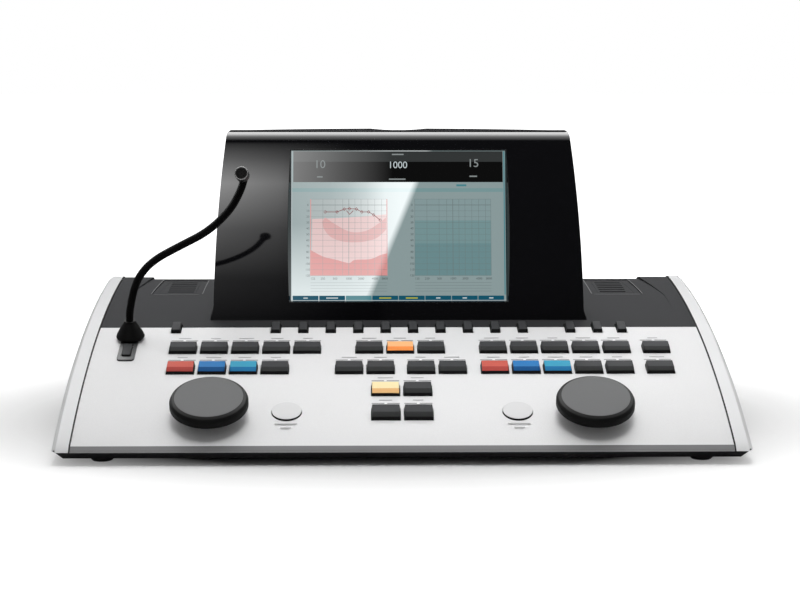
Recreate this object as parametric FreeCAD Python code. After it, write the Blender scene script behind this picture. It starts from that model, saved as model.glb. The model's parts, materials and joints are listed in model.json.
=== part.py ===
"""Two-channel desktop audiometer with a fold-down display.

Frame: +Z up, the operator sits at -Y and faces +Y, +X is to the operator's right.
The origin is under the middle of the console, where its feet stand. Millimetres.

The sloping key panel and the deck behind it are one curved skin. A place on it is given
by s, the arc length from the front lip, and by a depth below the skin along its normal.
"""
import FreeCAD, Part
import math
import os

V = FreeCAD.Vector

# ------------------------------------------------------------------ console, driving sizes
WIDTH = 522.0
DEPTH = 366.0
CHEEK_W = 14.0            # end cheek, measured along X
CHEEK_PROUD = 0.8         # height of a cheek above the skin
CHEEK_WALL = 3.0
CHEEK_CHAMFER = 3.6
SEAM = 0.3                # joint line between two mouldings
SEAT_GAP = 0.2            # insert to the seat it drops into
OVERRUN = 1.0             # a cutter runs past the face it cuts by this much
TOUCH = 0.01              # tolerance for picking edges by their place

FOOT_R = 9.0
FOOT_PROUD = 4.0          # foot below the tray
FOOT_RECESS = 1.0
FOOT_CHAMFER = 1.5
FOOT_SIDE = 35.0          # foot centre from the console's side
FOOT_IN = 25.0            # foot centre from the front lip and from the rear wall
TRAY_H = 8.0
TRAY_FLARE = 6.5          # the tray's skirt leans out by this much
TRAY_INSET = 1.5          # tray rim behind the mouldings above it
TRAY_WALL = 3.0

LIP_RUN = 5.0             # front facet under the panel
LIP_RISE = 4.0
PANEL_SLOPE = 26.12       # degrees at the front edge
PANEL_R = 759.0
PANEL_LEN = 181.5         # arc length from the lip to the deck seam
PANEL_T = 2.5
DECK_R = 956.0
DECK_T = 4.0
REAR_R = 35.0

VALLEY_DEPTH = 1.8        # shallow dish between the deck's two shoulders
VALLEY_START = 201.0      # distance from the front lip
VALLEY_CREASE = ((235.0, 201.0), (233.5, 262.0), (221.0, 330.0))   # x, distance from the lip

# ------------------------------------------------------------------ display
LID_AXIS_Y = 201.5        # hinge axis from the front lip
LID_AXIS_Z = 73.0
LID_LEAN = 15.0           # degrees back from upright when raised
LID_FOLDED_LEAN = 86.0
LID_R = 9.5               # barrel round the hinge axis
LID_FRONT_TURN = 16.0     # degrees round the barrel at which the front face starts
LID_TOP_V = 8.0           # front face at the top, from the hinge plane
LID_BULGE = 6.0
LID_H = 165.0             # hinge axis to the top edge
LID_TOP_ROLL = 10.0
LID_BACK_TAPER = 2.5
LID_HALF_BOTTOM = 157.2
LID_HALF_WAIST = 155.3
LID_HALF_MID = 152.4
LID_HALF_TOP = 145.5
LID_FLARE_U = (5.0, 12.5)   # the lower corners flare out between these heights
LID_MID_U = 82.5
LID_CORNER_R = 6.0
LID_SPLIT_V = 1.0         # joint plane between bezel and rear cover
COVER_WALL = 2.5
COVER_LIP_HALF = 61.0
COVER_LIP_H = 3.0
COVER_LIP_T = 4.0
NOTCH_HALF = 7.0
NOTCH_DEEP = 2.5          # finger notch below the lip's edge
SCREEN_W = 181.0
SCREEN_H = 128.0
SCREEN_BOTTOM = 20.5      # hinge axis to the lower edge of the picture
SCREEN_V = 7.3
SCREEN_FLARE = 33.0       # degrees, slope of the aperture's walls
LCD_BORDER = 8.0
LCD_T = 5.5
PIN_R = 3.0
PIN_ROOT = 6.0            # hinge pin inside the cover
PIN_END_GAP = 2.0         # hinge pin short of the bracket's far side
RUN_GAP = 0.08            # radial clearance of a running fit
POCKET_GAP = 0.6          # lid barrel to pocket front and folded lid to pocket floor
POCKET_SIDE = 2.5         # lid edge to pocket side wall
POCKET_WALL = 2.5
POCKET_BROW = 24.0        # degrees above level at which the pocket's front turns upright
BRACKET_W = 12.0
BRACKET_H = 16.0
BRACKET_BOSS = 1.0        # wall of the bearing above the pin

# ------------------------------------------------------------------ keys
KEY_W = 22.0
KEY_L = 14.6
KEY_FRONT_H = 2.4         # above the panel
KEY_CREASE_H = 4.6
KEY_REAR_H = 4.2
KEY_CREASE = -0.6         # crease from the key's middle, along s
KEY_CORNER = 0.8          # chamfer of the upright corners
KEY_TRAVEL = 2.0
KEY_GAP = 0.4             # key to cut-out
FLANGE_EXTRA = 1.2        # retaining flange beyond the key's side
FLANGE_T = 1.0
FLANGE_GAP = 0.3          # flange below the panel's underside
STEM_W = 4.4
STEM_LEN = 3.6            # below the flange
SWITCH_GAP = 0.3          # pressed stem to switch housing
SWITCH_W = 7.0
HOLE_DEEP = 30.0          # a cut-out's cutter below and above the skin
HOLE_HIGH = 10.0

ROW_S = (136.5, 102.0, 69.0, 37.0)      # rows 1 to 4, along the skin
ROW_PITCH = (25.0, 24.8)                # key to key in rows 1 and 2
SIDE_KEYS = 5                           # keys of a side group
SIDE_X = 75.0                           # row 1, innermost key of a side group
SIDE_OUTER_2 = (174.0, 173.5)           # row 2, outermost key of the left and the right group
SINGLE_STEP = 32.0                      # the single key beyond the right group
PAIR_INNER_2 = 16.0                     # row 2, inner keys of the two centre pairs
PAIR_X = 12.5                           # rows 3 and 4

FN_KEY_W = 8.0
FN_KEY_L = 18.0
FN_KEY_H = 3.2
FN_KEY_CHAMFER = 0.6
FN_KEY_S = 178.5
FN_LEFT = (-184.0,)
FN_PITCH = 22.67
FN_CENTRE_KEYS = 10
FN_RIGHT = (141.4, 163.8, 184.0)
RELIEF_DEEP = 20.0        # room under the deck's front edge for the function keys' flanges

# ------------------------------------------------------------------ dials and tone switches
DIAL_SIDE = 101.0         # dial axis from the cheek's joint
DIAL_S = 34.5
DIAL_R = 29.8
DIAL_H = 16.0
DIAL_GAP = 0.8            # dial above the panel
DIAL_SHOULDER = 5.0
DIAL_SHOULDER_STEPS = 3
DIAL_DISH = 0.6           # depth of the finger dish and the run of its edge
DIAL_DISH_RUN = 3.5
DIAL_WALL = 2.6
DIAL_HUB_UP = 2.0         # hub's end above the dial's rim
SHAFT_R = 3.0
SHAFT_LEN = 9.0           # below the panel's skin
BUSH_R = 5.0
ENCODER_W = 15.0
ENCODER_NECK = 1.0        # encoder's body above the end of the shaft

TONE_STEP = 58.0          # tone switch from its dial's axis
TONE_S = 40.5
TONE_R = 11.4
TONE_H = 1.2
TONE_EDGE = 0.5
TONE_TRAVEL = 1.5

# ------------------------------------------------------------------ key board
BOARD_T = 1.6
BOARD_DEPTH = 12.5        # top of the board below the skin at both its ends
BOARD_S = (22.0, 186.0)
BOARD_SIDE = 9.0          # board's edge from the cheek's joint
SPACER_R = 3.0
SPACER_SIDE = 13.0        # right-hand spacer from the board's edge
SPACER_DIAL = 44.0        # left-hand spacer from the dial's axis
SPACER_TONE = 30.0        # inner spacers from the tone switches
SPACER_S = (28.0, 155.0)

# ------------------------------------------------------------------ talk microphone
MIC_OUT = 2.8             # outward from halfway between the first key and the cheek
MIC_S = 156.5
MIC_PLATE_W = 15.5
MIC_PLATE_L = 50.0
MIC_PLATE_S = 141.5
MIC_PLATE_T = 1.4
MIC_PLATE_R = 3.0
BOOT_R = 12.0
BOOT_FLANGE_H = 4.0
BOOT_FLANGE_EDGE = 1.2    # chamfer of the flange
BOOT_TOP_R = 5.4
BOOT_TOP_EDGE = 1.0
BOOT_H = 17.0
BOOT_FLARE = 1.4          # how far the cone curves in from a straight line
BOOT_GAP = 0.3
MIC_PIN_R = 3.0
MIC_PIN_LEN = 9.0
MIC_SOCKET_R = 6.5
MIC_SOCKET_FLOOR = 1.0
TALK_W = 7.0
TALK_L = 20.5
TALK_S = 133.0
TALK_H = 2.6
TALK_TRAVEL = 1.5
TALK_R = 1.5
NECK_R = 3.0
NECK_SINK = 6.0           # neck inside the boot
NECK_STRAIGHT = 4.0       # boot's mouth to the first corner
NECK_BENDS = (            # corner points of the neck's run, from the first corner: x, y, z
    (1.7, -5.9, 8.7),
    (7.8, -16.4, 31.2),
    (22.3, -30.4, 48.7),
    (47.3, -48.4, 63.2),
    (69.3, -61.9, 75.2),
    (87.8, -70.9, 92.7),
    (96.5, -74.9, 108.7),
    (99.2, -76.2, 118.0),
)
BEND_SHARE = 0.45         # part of the shorter run that a bend takes
NECK_END = 7.0            # last corner to the back of the head
HEAD_AIM = (-0.05, -0.96, 0.27)
HEAD_R = 5.2
HEAD_LEN = 13.0
HEAD_RIM = 0.9
HEAD_RIM_DEEP = 1.2
HEAD_TAPER = 1.6          # back edge, inward and along
HEAD_TAPER_LEN = 2.5

# ------------------------------------------------------------------ speaker louvres
LOUVRE_FRONT = 265.0      # from the front lip
LOUVRE_REAR = 328.0
LOUVRE_X = ((171.0, 215.0), (170.0, 210.0))     # inner and outer edge, front and rear
LOUVRE_RECESS = 1.0
GRILLE_MARGIN = 6.0
GRILLE_FRONT_MARGIN = 9.0
GRILLE_T = 2.4
GRILLE_SLOTS = 6
GRILLE_SLOT_W = 3.2
GRILLE_SLANT = 3.0        # a slot's run to each side over its height
GRILLE_RIM = 2.0

# ------------------------------------------------------------------ rear connectors
CONN_HALF_X = 190.0
CONN_LOW = 16.0
CONN_HIGH = 54.0
CONN_OVERLAP = 4.0
CONN_T = 2.0
JACK_X = -165.0           # first socket
JACK_PITCH = 28.0
JACKS = 4
JACK_Z = 35.0
JACK_BORE_R = 3.2
JACK_R = 6.0
JACK_FLANGE_R = 8.0
JACK_FLANGE_T = 1.5
JACK_LEN = 18.0
JACK_END = 2.0            # closed end of a socket
JACK_FIT = 0.1
INLET_X = 150.0
INLET_W = 28.0
INLET_H = 21.0
INLET_WALL = 2.0
INLET_LEN = 20.0
INLET_FLANGE = 3.0
INLET_PIN_R = 1.2
INLET_PIN_LEN = 12.0
INLET_PINS = ((-7.0, -2.0), (0.0, 2.0), (7.0, -2.0))

# ------------------------------------------------------------------ worked-out places
FRONT_Y = -DEPTH / 2.0
REAR_Y = DEPTH / 2.0
SPLIT_Z = FOOT_PROUD + TRAY_H
SEAM_X = WIDTH / 2.0 - CHEEK_W
SKIN_HALF_X = SEAM_X - SEAM / 2.0
A0 = math.radians(PANEL_SLOPE)
A1 = A0 - PANEL_LEN / PANEL_R
PANEL_CY = FRONT_Y + LIP_RUN + PANEL_R * math.sin(A0)
PANEL_CZ = SPLIT_Z + LIP_RISE - PANEL_R * math.cos(A0)
DECK_CY = PANEL_CY + (DECK_R - PANEL_R) * math.sin(A1)
DECK_CZ = PANEL_CZ - (DECK_R - PANEL_R) * math.cos(A1)
BACK_Y = REAR_Y - CHEEK_PROUD
ROUND_CY = BACK_Y - REAR_R
A2 = math.asin((DECK_CY - ROUND_CY) / (DECK_R - REAR_R))
ROUND_CZ = DECK_CZ + (DECK_R - REAR_R) * math.cos(A2)
DECK_END = PANEL_LEN + (A1 - A2) * DECK_R
LID_Y = FRONT_Y + LID_AXIS_Y
POCKET_R = LID_R + POCKET_GAP
POCKET_X = LID_HALF_BOTTOM + POCKET_SIDE
JACK_FACE_Y = BACK_Y - DECK_T
FOOT_X = WIDTH / 2.0 - FOOT_SIDE
DIAL_X = SEAM_X - DIAL_SIDE
TONE_X = DIAL_X - TONE_STEP
FIRST_KEY_EDGE = SIDE_X + (SIDE_KEYS - 1) * ROW_PITCH[0] + KEY_W / 2.0
MIC_X = -((FIRST_KEY_EDGE + SEAM_X) / 2.0 + MIC_OUT)
BOARD_HALF_X = SEAM_X - BOARD_SIDE
SPACER_X = (-DIAL_X - SPACER_DIAL, SPACER_TONE - TONE_X, TONE_X - SPACER_TONE, BOARD_HALF_X - SPACER_SIDE)
FLANGE_TOP = -(PANEL_T + FLANGE_GAP)
STEM_END = FLANGE_TOP - FLANGE_T - STEM_LEN

os.makedirs("parts", exist_ok=True)


# ------------------------------------------------------------------ the curved skin
def slope_at(s):
    """Slope of the skin in radians at arc length s."""
    if s <= PANEL_LEN:
        return A0 - s / PANEL_R
    return A1 - (s - PANEL_LEN) / DECK_R


def skin(s, depth=0.0, x=0.0):
    """Point of the skin at arc length s, moved in by depth."""
    a = slope_at(s)
    if s <= PANEL_LEN:
        r, cy, cz = PANEL_R - depth, PANEL_CY, PANEL_CZ
    else:
        r, cy, cz = DECK_R - depth, DECK_CY, DECK_CZ
    return V(x, cy - r * math.sin(a), cz + r * math.cos(a))


def s_at(y_from_lip):
    """Arc length of the skin's point at this distance from the front lip."""
    y = FRONT_Y + y_from_lip
    a = math.asin((PANEL_CY - y) / PANEL_R)
    if a >= A1:
        return (A0 - a) * PANEL_R
    a = math.asin((DECK_CY - y) / DECK_R)
    return PANEL_LEN + (A1 - a) * DECK_R


def on_skin(shape, x, s, depth=0.0):
    """Carry a shape from its own frame (y up the slope, z outward) to its place on the skin."""
    placed = shape.copy()
    turn = FreeCAD.Rotation(V(1, 0, 0), math.degrees(slope_at(s)))
    placed.Placement = FreeCAD.Placement(skin(s, depth, x), turn).multiply(placed.Placement)
    return placed


def arc(a, b, c):
    return Part.Arc(a, b, c).toShape()


def line(a, b):
    return Part.LineSegment(a, b).toShape()


def skin_arc(s0, s1, depth):
    return arc(skin(s0, depth), skin((s0 + s1) / 2.0, depth), skin(s1, depth))


def round_point(turn, depth):
    """Point of the rear rounding; turn runs from 0 at the deck to 1 at the rear wall."""
    a = A2 + (-math.pi / 2.0 - A2) * turn
    r = REAR_R - depth
    return V(0, ROUND_CY - r * math.sin(a), ROUND_CZ + r * math.cos(a))


def slab(edges, x0, x1):
    """Extrude a closed outline of the YZ plane from x0 to x1."""
    face = Part.Face(Part.Wire(Part.__sortEdges__(edges)))
    face.translate(V(x0, 0, 0))
    return face.extrude(V(x1 - x0, 0, 0))


def loop(points):
    return [line(a, b) for a, b in zip(points, points[1:] + points[:1])]


def box(x0, x1, y0, y1, z0, z1):
    return Part.makeBox(x1 - x0, y1 - y0, z1 - z0, V(x0, y0, z0))


def pillar(r, z0, z1, x=0.0, y=0.0):
    return Part.makeCylinder(r, z1 - z0, V(x, y, z0))


def block(w, l, z0, z1):
    """Upright block centred on the origin."""
    return box(-w / 2.0, w / 2.0, -l / 2.0, l / 2.0, z0, z1)


def upright_edges(solid):
    return [e for e in solid.Edges if abs(e.tangentAt(e.FirstParameter).z) > 0.99]


def chamfered(solid, run):
    return solid.makeChamfer(run, upright_edges(solid))


def revolve(points):
    """Turn a closed (radius, height) outline about the Z axis."""
    outline = loop([V(r, 0, z) for r, z in points])
    return Part.Face(Part.Wire(outline)).revolve(V(0, 0, 0), V(0, 0, 1), 360)


def save(name, shape):
    clean = shape.removeSplitter() if len(shape.Solids) == 1 else shape
    if not clean.isValid() or not clean.Solids:
        raise ValueError(name + " is not a sound solid")
    clean.exportStep("parts/" + name + ".step")
    print("%-22s solids %2d  faces %4d  cm3 %8.2f" % (
        name, len(clean.Solids), len(clean.Faces), clean.Volume / 1000.0))
    return clean


# ------------------------------------------------------------------ skin sections
def skin_section(depth):
    """Outline of everything under the skin at this depth, down to the split plane."""
    rear = BACK_Y - depth
    facet = math.atan2(LIP_RISE, LIP_RUN)
    inward = max(depth, 0.0)
    first = inward * math.tan((facet - A0) / 2.0)
    foot = V(0, FRONT_Y + inward / math.sin(facet), SPLIT_Z)
    return [
        line(foot, skin(first, depth)),
        skin_arc(first, PANEL_LEN, depth),
        skin_arc(PANEL_LEN, DECK_END, depth),
        arc(round_point(0, depth), round_point(0.5, depth), round_point(1, depth)),
        line(round_point(1, depth), V(0, rear, SPLIT_Z)),
        line(V(0, rear, SPLIT_Z), foot),
    ]


def panel_strip():
    """Panel sheet with its front facet, as a slab."""
    t = PANEL_T
    facet = math.atan2(LIP_RISE, LIP_RUN)
    foot_in = V(0, FRONT_Y + t / math.sin(facet), SPLIT_Z)
    s_in = t * math.tan((facet - A0) / 2.0)
    edges = [
        line(V(0, FRONT_Y, SPLIT_Z), skin(0)),
        skin_arc(0, PANEL_LEN, 0),
        line(skin(PANEL_LEN, 0), skin(PANEL_LEN, t)),
        skin_arc(s_in, PANEL_LEN, t),
        line(skin(s_in, t), foot_in),
        line(foot_in, V(0, FRONT_Y, SPLIT_Z)),
    ]
    return slab(edges, -SKIN_HALF_X, SKIN_HALF_X)


# ------------------------------------------------------------------ keys and their cut-outs
def plunger(w, l):
    """What every key has below the panel: a retaining flange, and a stem over its switch."""
    return [block(w + 2 * FLANGE_EXTRA, l + 2 * FLANGE_EXTRA, FLANGE_TOP - FLANGE_T, FLANGE_TOP),
            block(STEM_W, STEM_W, STEM_END, FLANGE_TOP - FLANGE_T)]


def key_shape():
    """Large key: two top facets meeting in a crease, flange and stem below."""
    half = KEY_L / 2.0
    outline = [
        V(0, -half, FLANGE_TOP), V(0, -half, KEY_FRONT_H), V(0, KEY_CREASE, KEY_CREASE_H),
        V(0, half, KEY_REAR_H), V(0, half, FLANGE_TOP)]
    cap = slab(loop(outline), -KEY_W / 2.0, KEY_W / 2.0)
    return chamfered(cap, KEY_CORNER).fuse(plunger(KEY_W, KEY_L))


def key_hole(w, l):
    """Cutter for a cut-out, with the key's gap all round."""
    return block(w + 2 * KEY_GAP, l + 2 * KEY_GAP, -HOLE_DEEP, HOLE_HIGH)


def round_hole(r):
    return pillar(r, -HOLE_DEEP, HOLE_HIGH)


def function_key_shape():
    cap = chamfered(block(FN_KEY_W, FN_KEY_L, FLANGE_TOP, FN_KEY_H), KEY_CORNER)
    rim = [e for e in cap.Edges if min(v.Z for v in e.Vertexes) > FN_KEY_H - TOUCH]
    return cap.makeChamfer(FN_KEY_CHAMFER, rim).fuse(plunger(FN_KEY_W, FN_KEY_L))


def key_rows():
    """X places of each row, left to right."""
    step_1, step_2 = ROW_PITCH
    side = [SIDE_X + n * step_1 for n in range(SIDE_KEYS)]
    outer_left, outer_right = SIDE_OUTER_2
    left = [-outer_left + n * step_2 for n in range(SIDE_KEYS - 1)]
    right = [outer_right - n * step_2 for n in reversed(range(SIDE_KEYS))]
    pair = [PAIR_INNER_2, PAIR_INNER_2 + step_1]
    return (
        [-x for x in reversed(side)] + [-step_1, 0.0, step_1] + side + [side[-1] + SINGLE_STEP],
        left + [-x for x in reversed(pair)] + pair + right + [right[-1] + SINGLE_STEP],
        [-PAIR_X, PAIR_X],
        [-PAIR_X, PAIR_X])


def all_keys():
    """Name, x and s of every large key."""
    return [("key_r%d_%02d" % (row + 1, n + 1), x, ROW_S[row])
            for row, places in enumerate(key_rows()) for n, x in enumerate(places)]


def centre_function_keys():
    first = -(FN_CENTRE_KEYS - 1) / 2.0 * FN_PITCH
    return tuple(first + n * FN_PITCH for n in range(FN_CENTRE_KEYS))


def function_places():
    return FN_LEFT + centre_function_keys() + FN_RIGHT


def tone_shape():
    """Round cap with a bevelled rim, on the same flange and stem as the keys."""
    under = FLANGE_TOP - FLANGE_T
    wide = TONE_R + FLANGE_EXTRA
    cap = revolve([(0, under), (wide, under), (wide, FLANGE_TOP), (TONE_R, FLANGE_TOP),
                   (TONE_R, TONE_H - TONE_EDGE), (TONE_R - TONE_EDGE, TONE_H), (0, TONE_H)])
    return cap.fuse(block(STEM_W, STEM_W, STEM_END, under))


# ------------------------------------------------------------------ display, in its own frame
# X stays X, y runs up the lid from the hinge axis (u), z points at the operator (v).
def lid_place(shape):
    """Carry a shape from the lid's own frame to its raised place."""
    placed = shape.copy()
    turn = FreeCAD.Rotation(V(1, 0, 0), 90.0 - LID_LEAN)
    place = FreeCAD.Placement(V(0, LID_Y, LID_AXIS_Z), turn)
    placed.Placement = place.multiply(placed.Placement)
    return placed


def lid_side():
    """Side view of the lid, extruded across its whole width."""
    start = math.radians(LID_FRONT_TURN)
    low = V(0, LID_R * math.sin(start), LID_R * math.cos(start))
    turn = 2.0 * math.atan(2.0 * LID_BULGE / (LID_H - LID_R))
    high = V(0, LID_H - LID_TOP_ROLL * (1.0 - math.sin(turn)), LID_TOP_V)
    middle = (low + high) * 0.5 + V(0, 0, LID_BULGE)
    hub = high - V(0, math.sin(turn), math.cos(turn)) * LID_TOP_ROLL
    half = (turn + math.pi / 2.0) / 2.0
    roll = hub + V(0, math.sin(half), math.cos(half)) * LID_TOP_ROLL
    top = hub + V(0, LID_TOP_ROLL, 0)
    back_top = V(0, LID_H, LID_BACK_TAPER - LID_R)
    back_low = V(0, 0, -LID_R)
    edges = [
        arc(low, middle, high), arc(high, roll, top), line(top, back_top),
        line(back_top, back_low), arc(back_low, V(0, -LID_R, 0), low)]
    return slab(edges, -WIDTH / 2.0, WIDTH / 2.0)


def lid_front():
    """Front view of the lid, as a deep block with rounded upper corners."""
    low, waist = LID_FLARE_U
    right = [V(LID_HALF_BOTTOM, -2 * LID_R, 0), V(LID_HALF_BOTTOM, low, 0),
             V(LID_HALF_WAIST, waist, 0)]
    edges = []
    for side in (1, -1):
        chain = [V(side * p.x, p.y, 0) for p in right]
        edges += [line(chain[0], chain[1]), line(chain[1], chain[2]),
                  arc(chain[2], V(side * LID_HALF_MID, LID_MID_U, 0), V(side * LID_HALF_TOP, LID_H, 0))]
    edges += [line(V(-LID_HALF_TOP, LID_H, 0), V(LID_HALF_TOP, LID_H, 0)),
              line(V(-LID_HALF_BOTTOM, -2 * LID_R, 0), V(LID_HALF_BOTTOM, -2 * LID_R, 0))]
    face = Part.Face(Part.Wire(Part.__sortEdges__(edges)))
    face.translate(V(0, 0, -2 * LID_R))
    solid = face.extrude(V(0, 0, 5 * LID_R))
    corners = [e for e in upright_edges(solid) if min(v.Y for v in e.Vertexes) > LID_H - TOUCH]
    return solid.makeFillet(LID_CORNER_R, corners)


def screen_aperture():
    """Opening over the picture, its four walls sloping outward."""
    rise = LID_R + LID_BULGE
    grow = rise * math.tan(math.radians(SCREEN_FLARE))
    rings = []
    for extra, v in ((0.0, SCREEN_V), (grow, SCREEN_V + rise)):
        x, low, high = SCREEN_W / 2.0 + extra, SCREEN_BOTTOM - extra, SCREEN_BOTTOM + SCREEN_H + extra
        rings.append(Part.makePolygon([V(-x, low, v), V(x, low, v), V(x, high, v), V(-x, high, v),
                                       V(-x, low, v)]))
    return Part.makeLoft(rings, True, True)


def lcd_box(margin, v0, v1):
    half = SCREEN_W / 2.0 + LCD_BORDER + margin
    return box(-half, half, SCREEN_BOTTOM - LCD_BORDER - margin,
               SCREEN_BOTTOM + SCREEN_H + LCD_BORDER + margin, v0, v1)


def front_half():
    return box(-WIDTH, WIDTH, -DEPTH, DEPTH, LID_SPLIT_V, DEPTH)


def hinge_pins(r):
    """Pins that run from inside the lid into the brackets."""
    reach = POCKET_X + POCKET_WALL + BRACKET_W - PIN_END_GAP
    return [Part.makeCylinder(r, reach - LID_HALF_BOTTOM + PIN_ROOT,
                              V(side * (LID_HALF_BOTTOM - PIN_ROOT), 0, 0), V(side, 0, 0))
            for side in (1, -1)]


def display_bezel(lid):
    """Front half of the lid with the picture's opening and seats for the hinge pins."""
    body = lid.common(front_half()).cut(hinge_pins(PIN_R + RUN_GAP))
    body = body.cut(lcd_box(SEAM, LID_SPLIT_V - OVERRUN, SCREEN_V))
    return body.cut(screen_aperture())


def display_cover(lid):
    """Rear half of the lid with its finger lip and the two hinge pins."""
    lip_back = LID_BACK_TAPER - LID_R
    lip = box(-COVER_LIP_HALF, COVER_LIP_HALF, LID_H - COVER_LIP_T, LID_H + COVER_LIP_H,
              lip_back, lip_back + COVER_LIP_T)
    notch = Part.makeCylinder(NOTCH_HALF, 4 * LID_R,
                              V(0, LID_H + COVER_LIP_H - NOTCH_DEEP + NOTCH_HALF, -2 * LID_R))
    hollow = lcd_box(-COVER_WALL, lip_back + COVER_WALL, LID_SPLIT_V + OVERRUN)
    body = lid.fuse(lip).cut(front_half()).cut([hollow, notch])
    return body.fuse(hinge_pins(PIN_R))


def lcd_screen():
    front = SCREEN_V - SEAM
    return lcd_box(0.0, front - LCD_T, front)


# ------------------------------------------------------------------ pocket for the folded lid
def pocket_section(r):
    """Outline of the pocket round the hinge axis, open to the top and the rear."""
    fold = math.radians(LID_FOLDED_LEAN)
    along, up = V(0, math.sin(fold), math.cos(fold)), V(0, -math.cos(fold), math.sin(fold))
    axis = V(0, LID_Y, LID_AXIS_Z)
    floor_front = axis - up * r
    floor_rear = floor_front + along * DEPTH
    lift, fall = math.radians(POCKET_BROW), math.radians(180.0 - LID_FOLDED_LEAN)
    half = (lift - fall) / 2.0
    brow = axis + V(0, -r * math.cos(lift), r * math.sin(lift))
    mid = axis + V(0, -r * math.cos(half), r * math.sin(half))
    sky = DEPTH
    return [line(floor_front, floor_rear), line(floor_rear, V(0, floor_rear.y, sky)),
            line(V(0, floor_rear.y, sky), V(0, brow.y, sky)), line(V(0, brow.y, sky), brow),
            arc(brow, mid, floor_front)]


def valley_depth(s):
    first = s_at(VALLEY_START)
    if s <= first:
        return 0.0
    return VALLEY_DEPTH * ((s - first) / (DECK_END - first)) ** 2


def above_valley(extra, half_x):
    """Everything above the valley's floor lowered by extra."""
    first = s_at(VALLEY_START)
    middle = (first + DECK_END) / 2.0
    rear_depth = VALLEY_DEPTH + extra
    top = DEPTH
    out_y = BACK_Y + REAR_R
    low = round_point(1, rear_depth)
    start = skin(first, extra)
    edges = [
        arc(start, skin(middle, valley_depth(middle) + extra), skin(DECK_END, rear_depth)),
        arc(round_point(0, rear_depth), round_point(0.5, rear_depth), low),
        line(low, V(0, out_y, low.z)), line(V(0, out_y, low.z), V(0, out_y, top)),
        line(V(0, out_y, top), V(0, start.y, top)), line(V(0, start.y, top), start)]
    return slab(edges, -half_x, half_x)


def plan_prism(corners):
    """Upright prism over a plan outline given by x and distance from the front lip."""
    wire = Part.makePolygon([V(x, FRONT_Y + y, 0) for x, y in corners + corners[:1]])
    return Part.Face(wire).extrude(V(0, 0, DEPTH))


def valley_cut():
    """The valley narrows along its crease, then runs straight over the rear rounding."""
    right = list(VALLEY_CREASE) + [(VALLEY_CREASE[-1][0], DEPTH + REAR_R)]
    left = [(-x, y) for x, y in reversed(right)]
    return above_valley(0.0, SKIN_HALF_X).common(plan_prism(left + right))


def louvre_outline(side, margin, front_margin):
    (in_f, out_f), (in_r, out_r) = LOUVRE_X
    return plan_prism([
        (side * (in_f + margin), LOUVRE_FRONT + front_margin),
        (side * (out_f - margin), LOUVRE_FRONT + front_margin),
        (side * (out_r - margin), LOUVRE_REAR - margin),
        (side * (in_r + margin), LOUVRE_REAR - margin)])


def speaker_grille(side):
    """Insert with slanting louvre blades between its slots."""
    top = above_valley(LOUVRE_RECESS, SKIN_HALF_X)
    sheet = above_valley(LOUVRE_RECESS + GRILLE_T, SKIN_HALF_X).cut(top)
    insert = sheet.common(louvre_outline(side, GRILLE_MARGIN + SEAT_GAP, GRILLE_FRONT_MARGIN + SEAT_GAP))
    first = LOUVRE_FRONT + GRILLE_FRONT_MARGIN
    pitch = (LOUVRE_REAR - GRILLE_MARGIN - first) / GRILLE_SLOTS
    (in_f, _), (_, out_r) = LOUVRE_X
    x0 = in_f + GRILLE_MARGIN + GRILLE_RIM
    x1 = out_r - GRILLE_MARGIN - GRILLE_RIM
    slots = []
    for n in range(GRILLE_SLOTS):
        y = FRONT_Y + first + (n + 0.5) * pitch
        base = skin(s_at(y - FRONT_Y)).z
        half = GRILLE_SLOT_W / 2.0
        low, high = base - 2 * DECK_T, base + DECK_T
        shape = loop([V(0, y - GRILLE_SLANT - half, low), V(0, y - GRILLE_SLANT + half, low),
                      V(0, y + GRILLE_SLANT + half, high), V(0, y + GRILLE_SLANT - half, high)])
        slots.append(slab(shape, *sorted((side * x0, side * x1))))
    return insert.cut(slots)


# ------------------------------------------------------------------ mouldings
def function_key_cuts():
    return [on_skin(key_hole(FN_KEY_W, FN_KEY_L), x, FN_KEY_S) for x in function_places()]


def front_panel():
    """Curved key panel with every cut-out."""
    sheet = panel_strip()
    cuts = [on_skin(key_hole(KEY_W, KEY_L), x, s) for _, x, s in all_keys()]
    cuts += function_key_cuts()
    for side in (-1, 1):
        cuts.append(on_skin(round_hole(BUSH_R + SEAT_GAP), side * DIAL_X, DIAL_S))
        cuts.append(on_skin(round_hole(TONE_R + KEY_GAP), side * TONE_X, TONE_S))
    cuts.append(on_skin(key_hole(TALK_W, TALK_L), MIC_X, TALK_S))
    cuts.append(on_skin(round_hole(MIC_SOCKET_R + SEAT_GAP), MIC_X, MIC_S))
    return sheet.cut(cuts)


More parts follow.
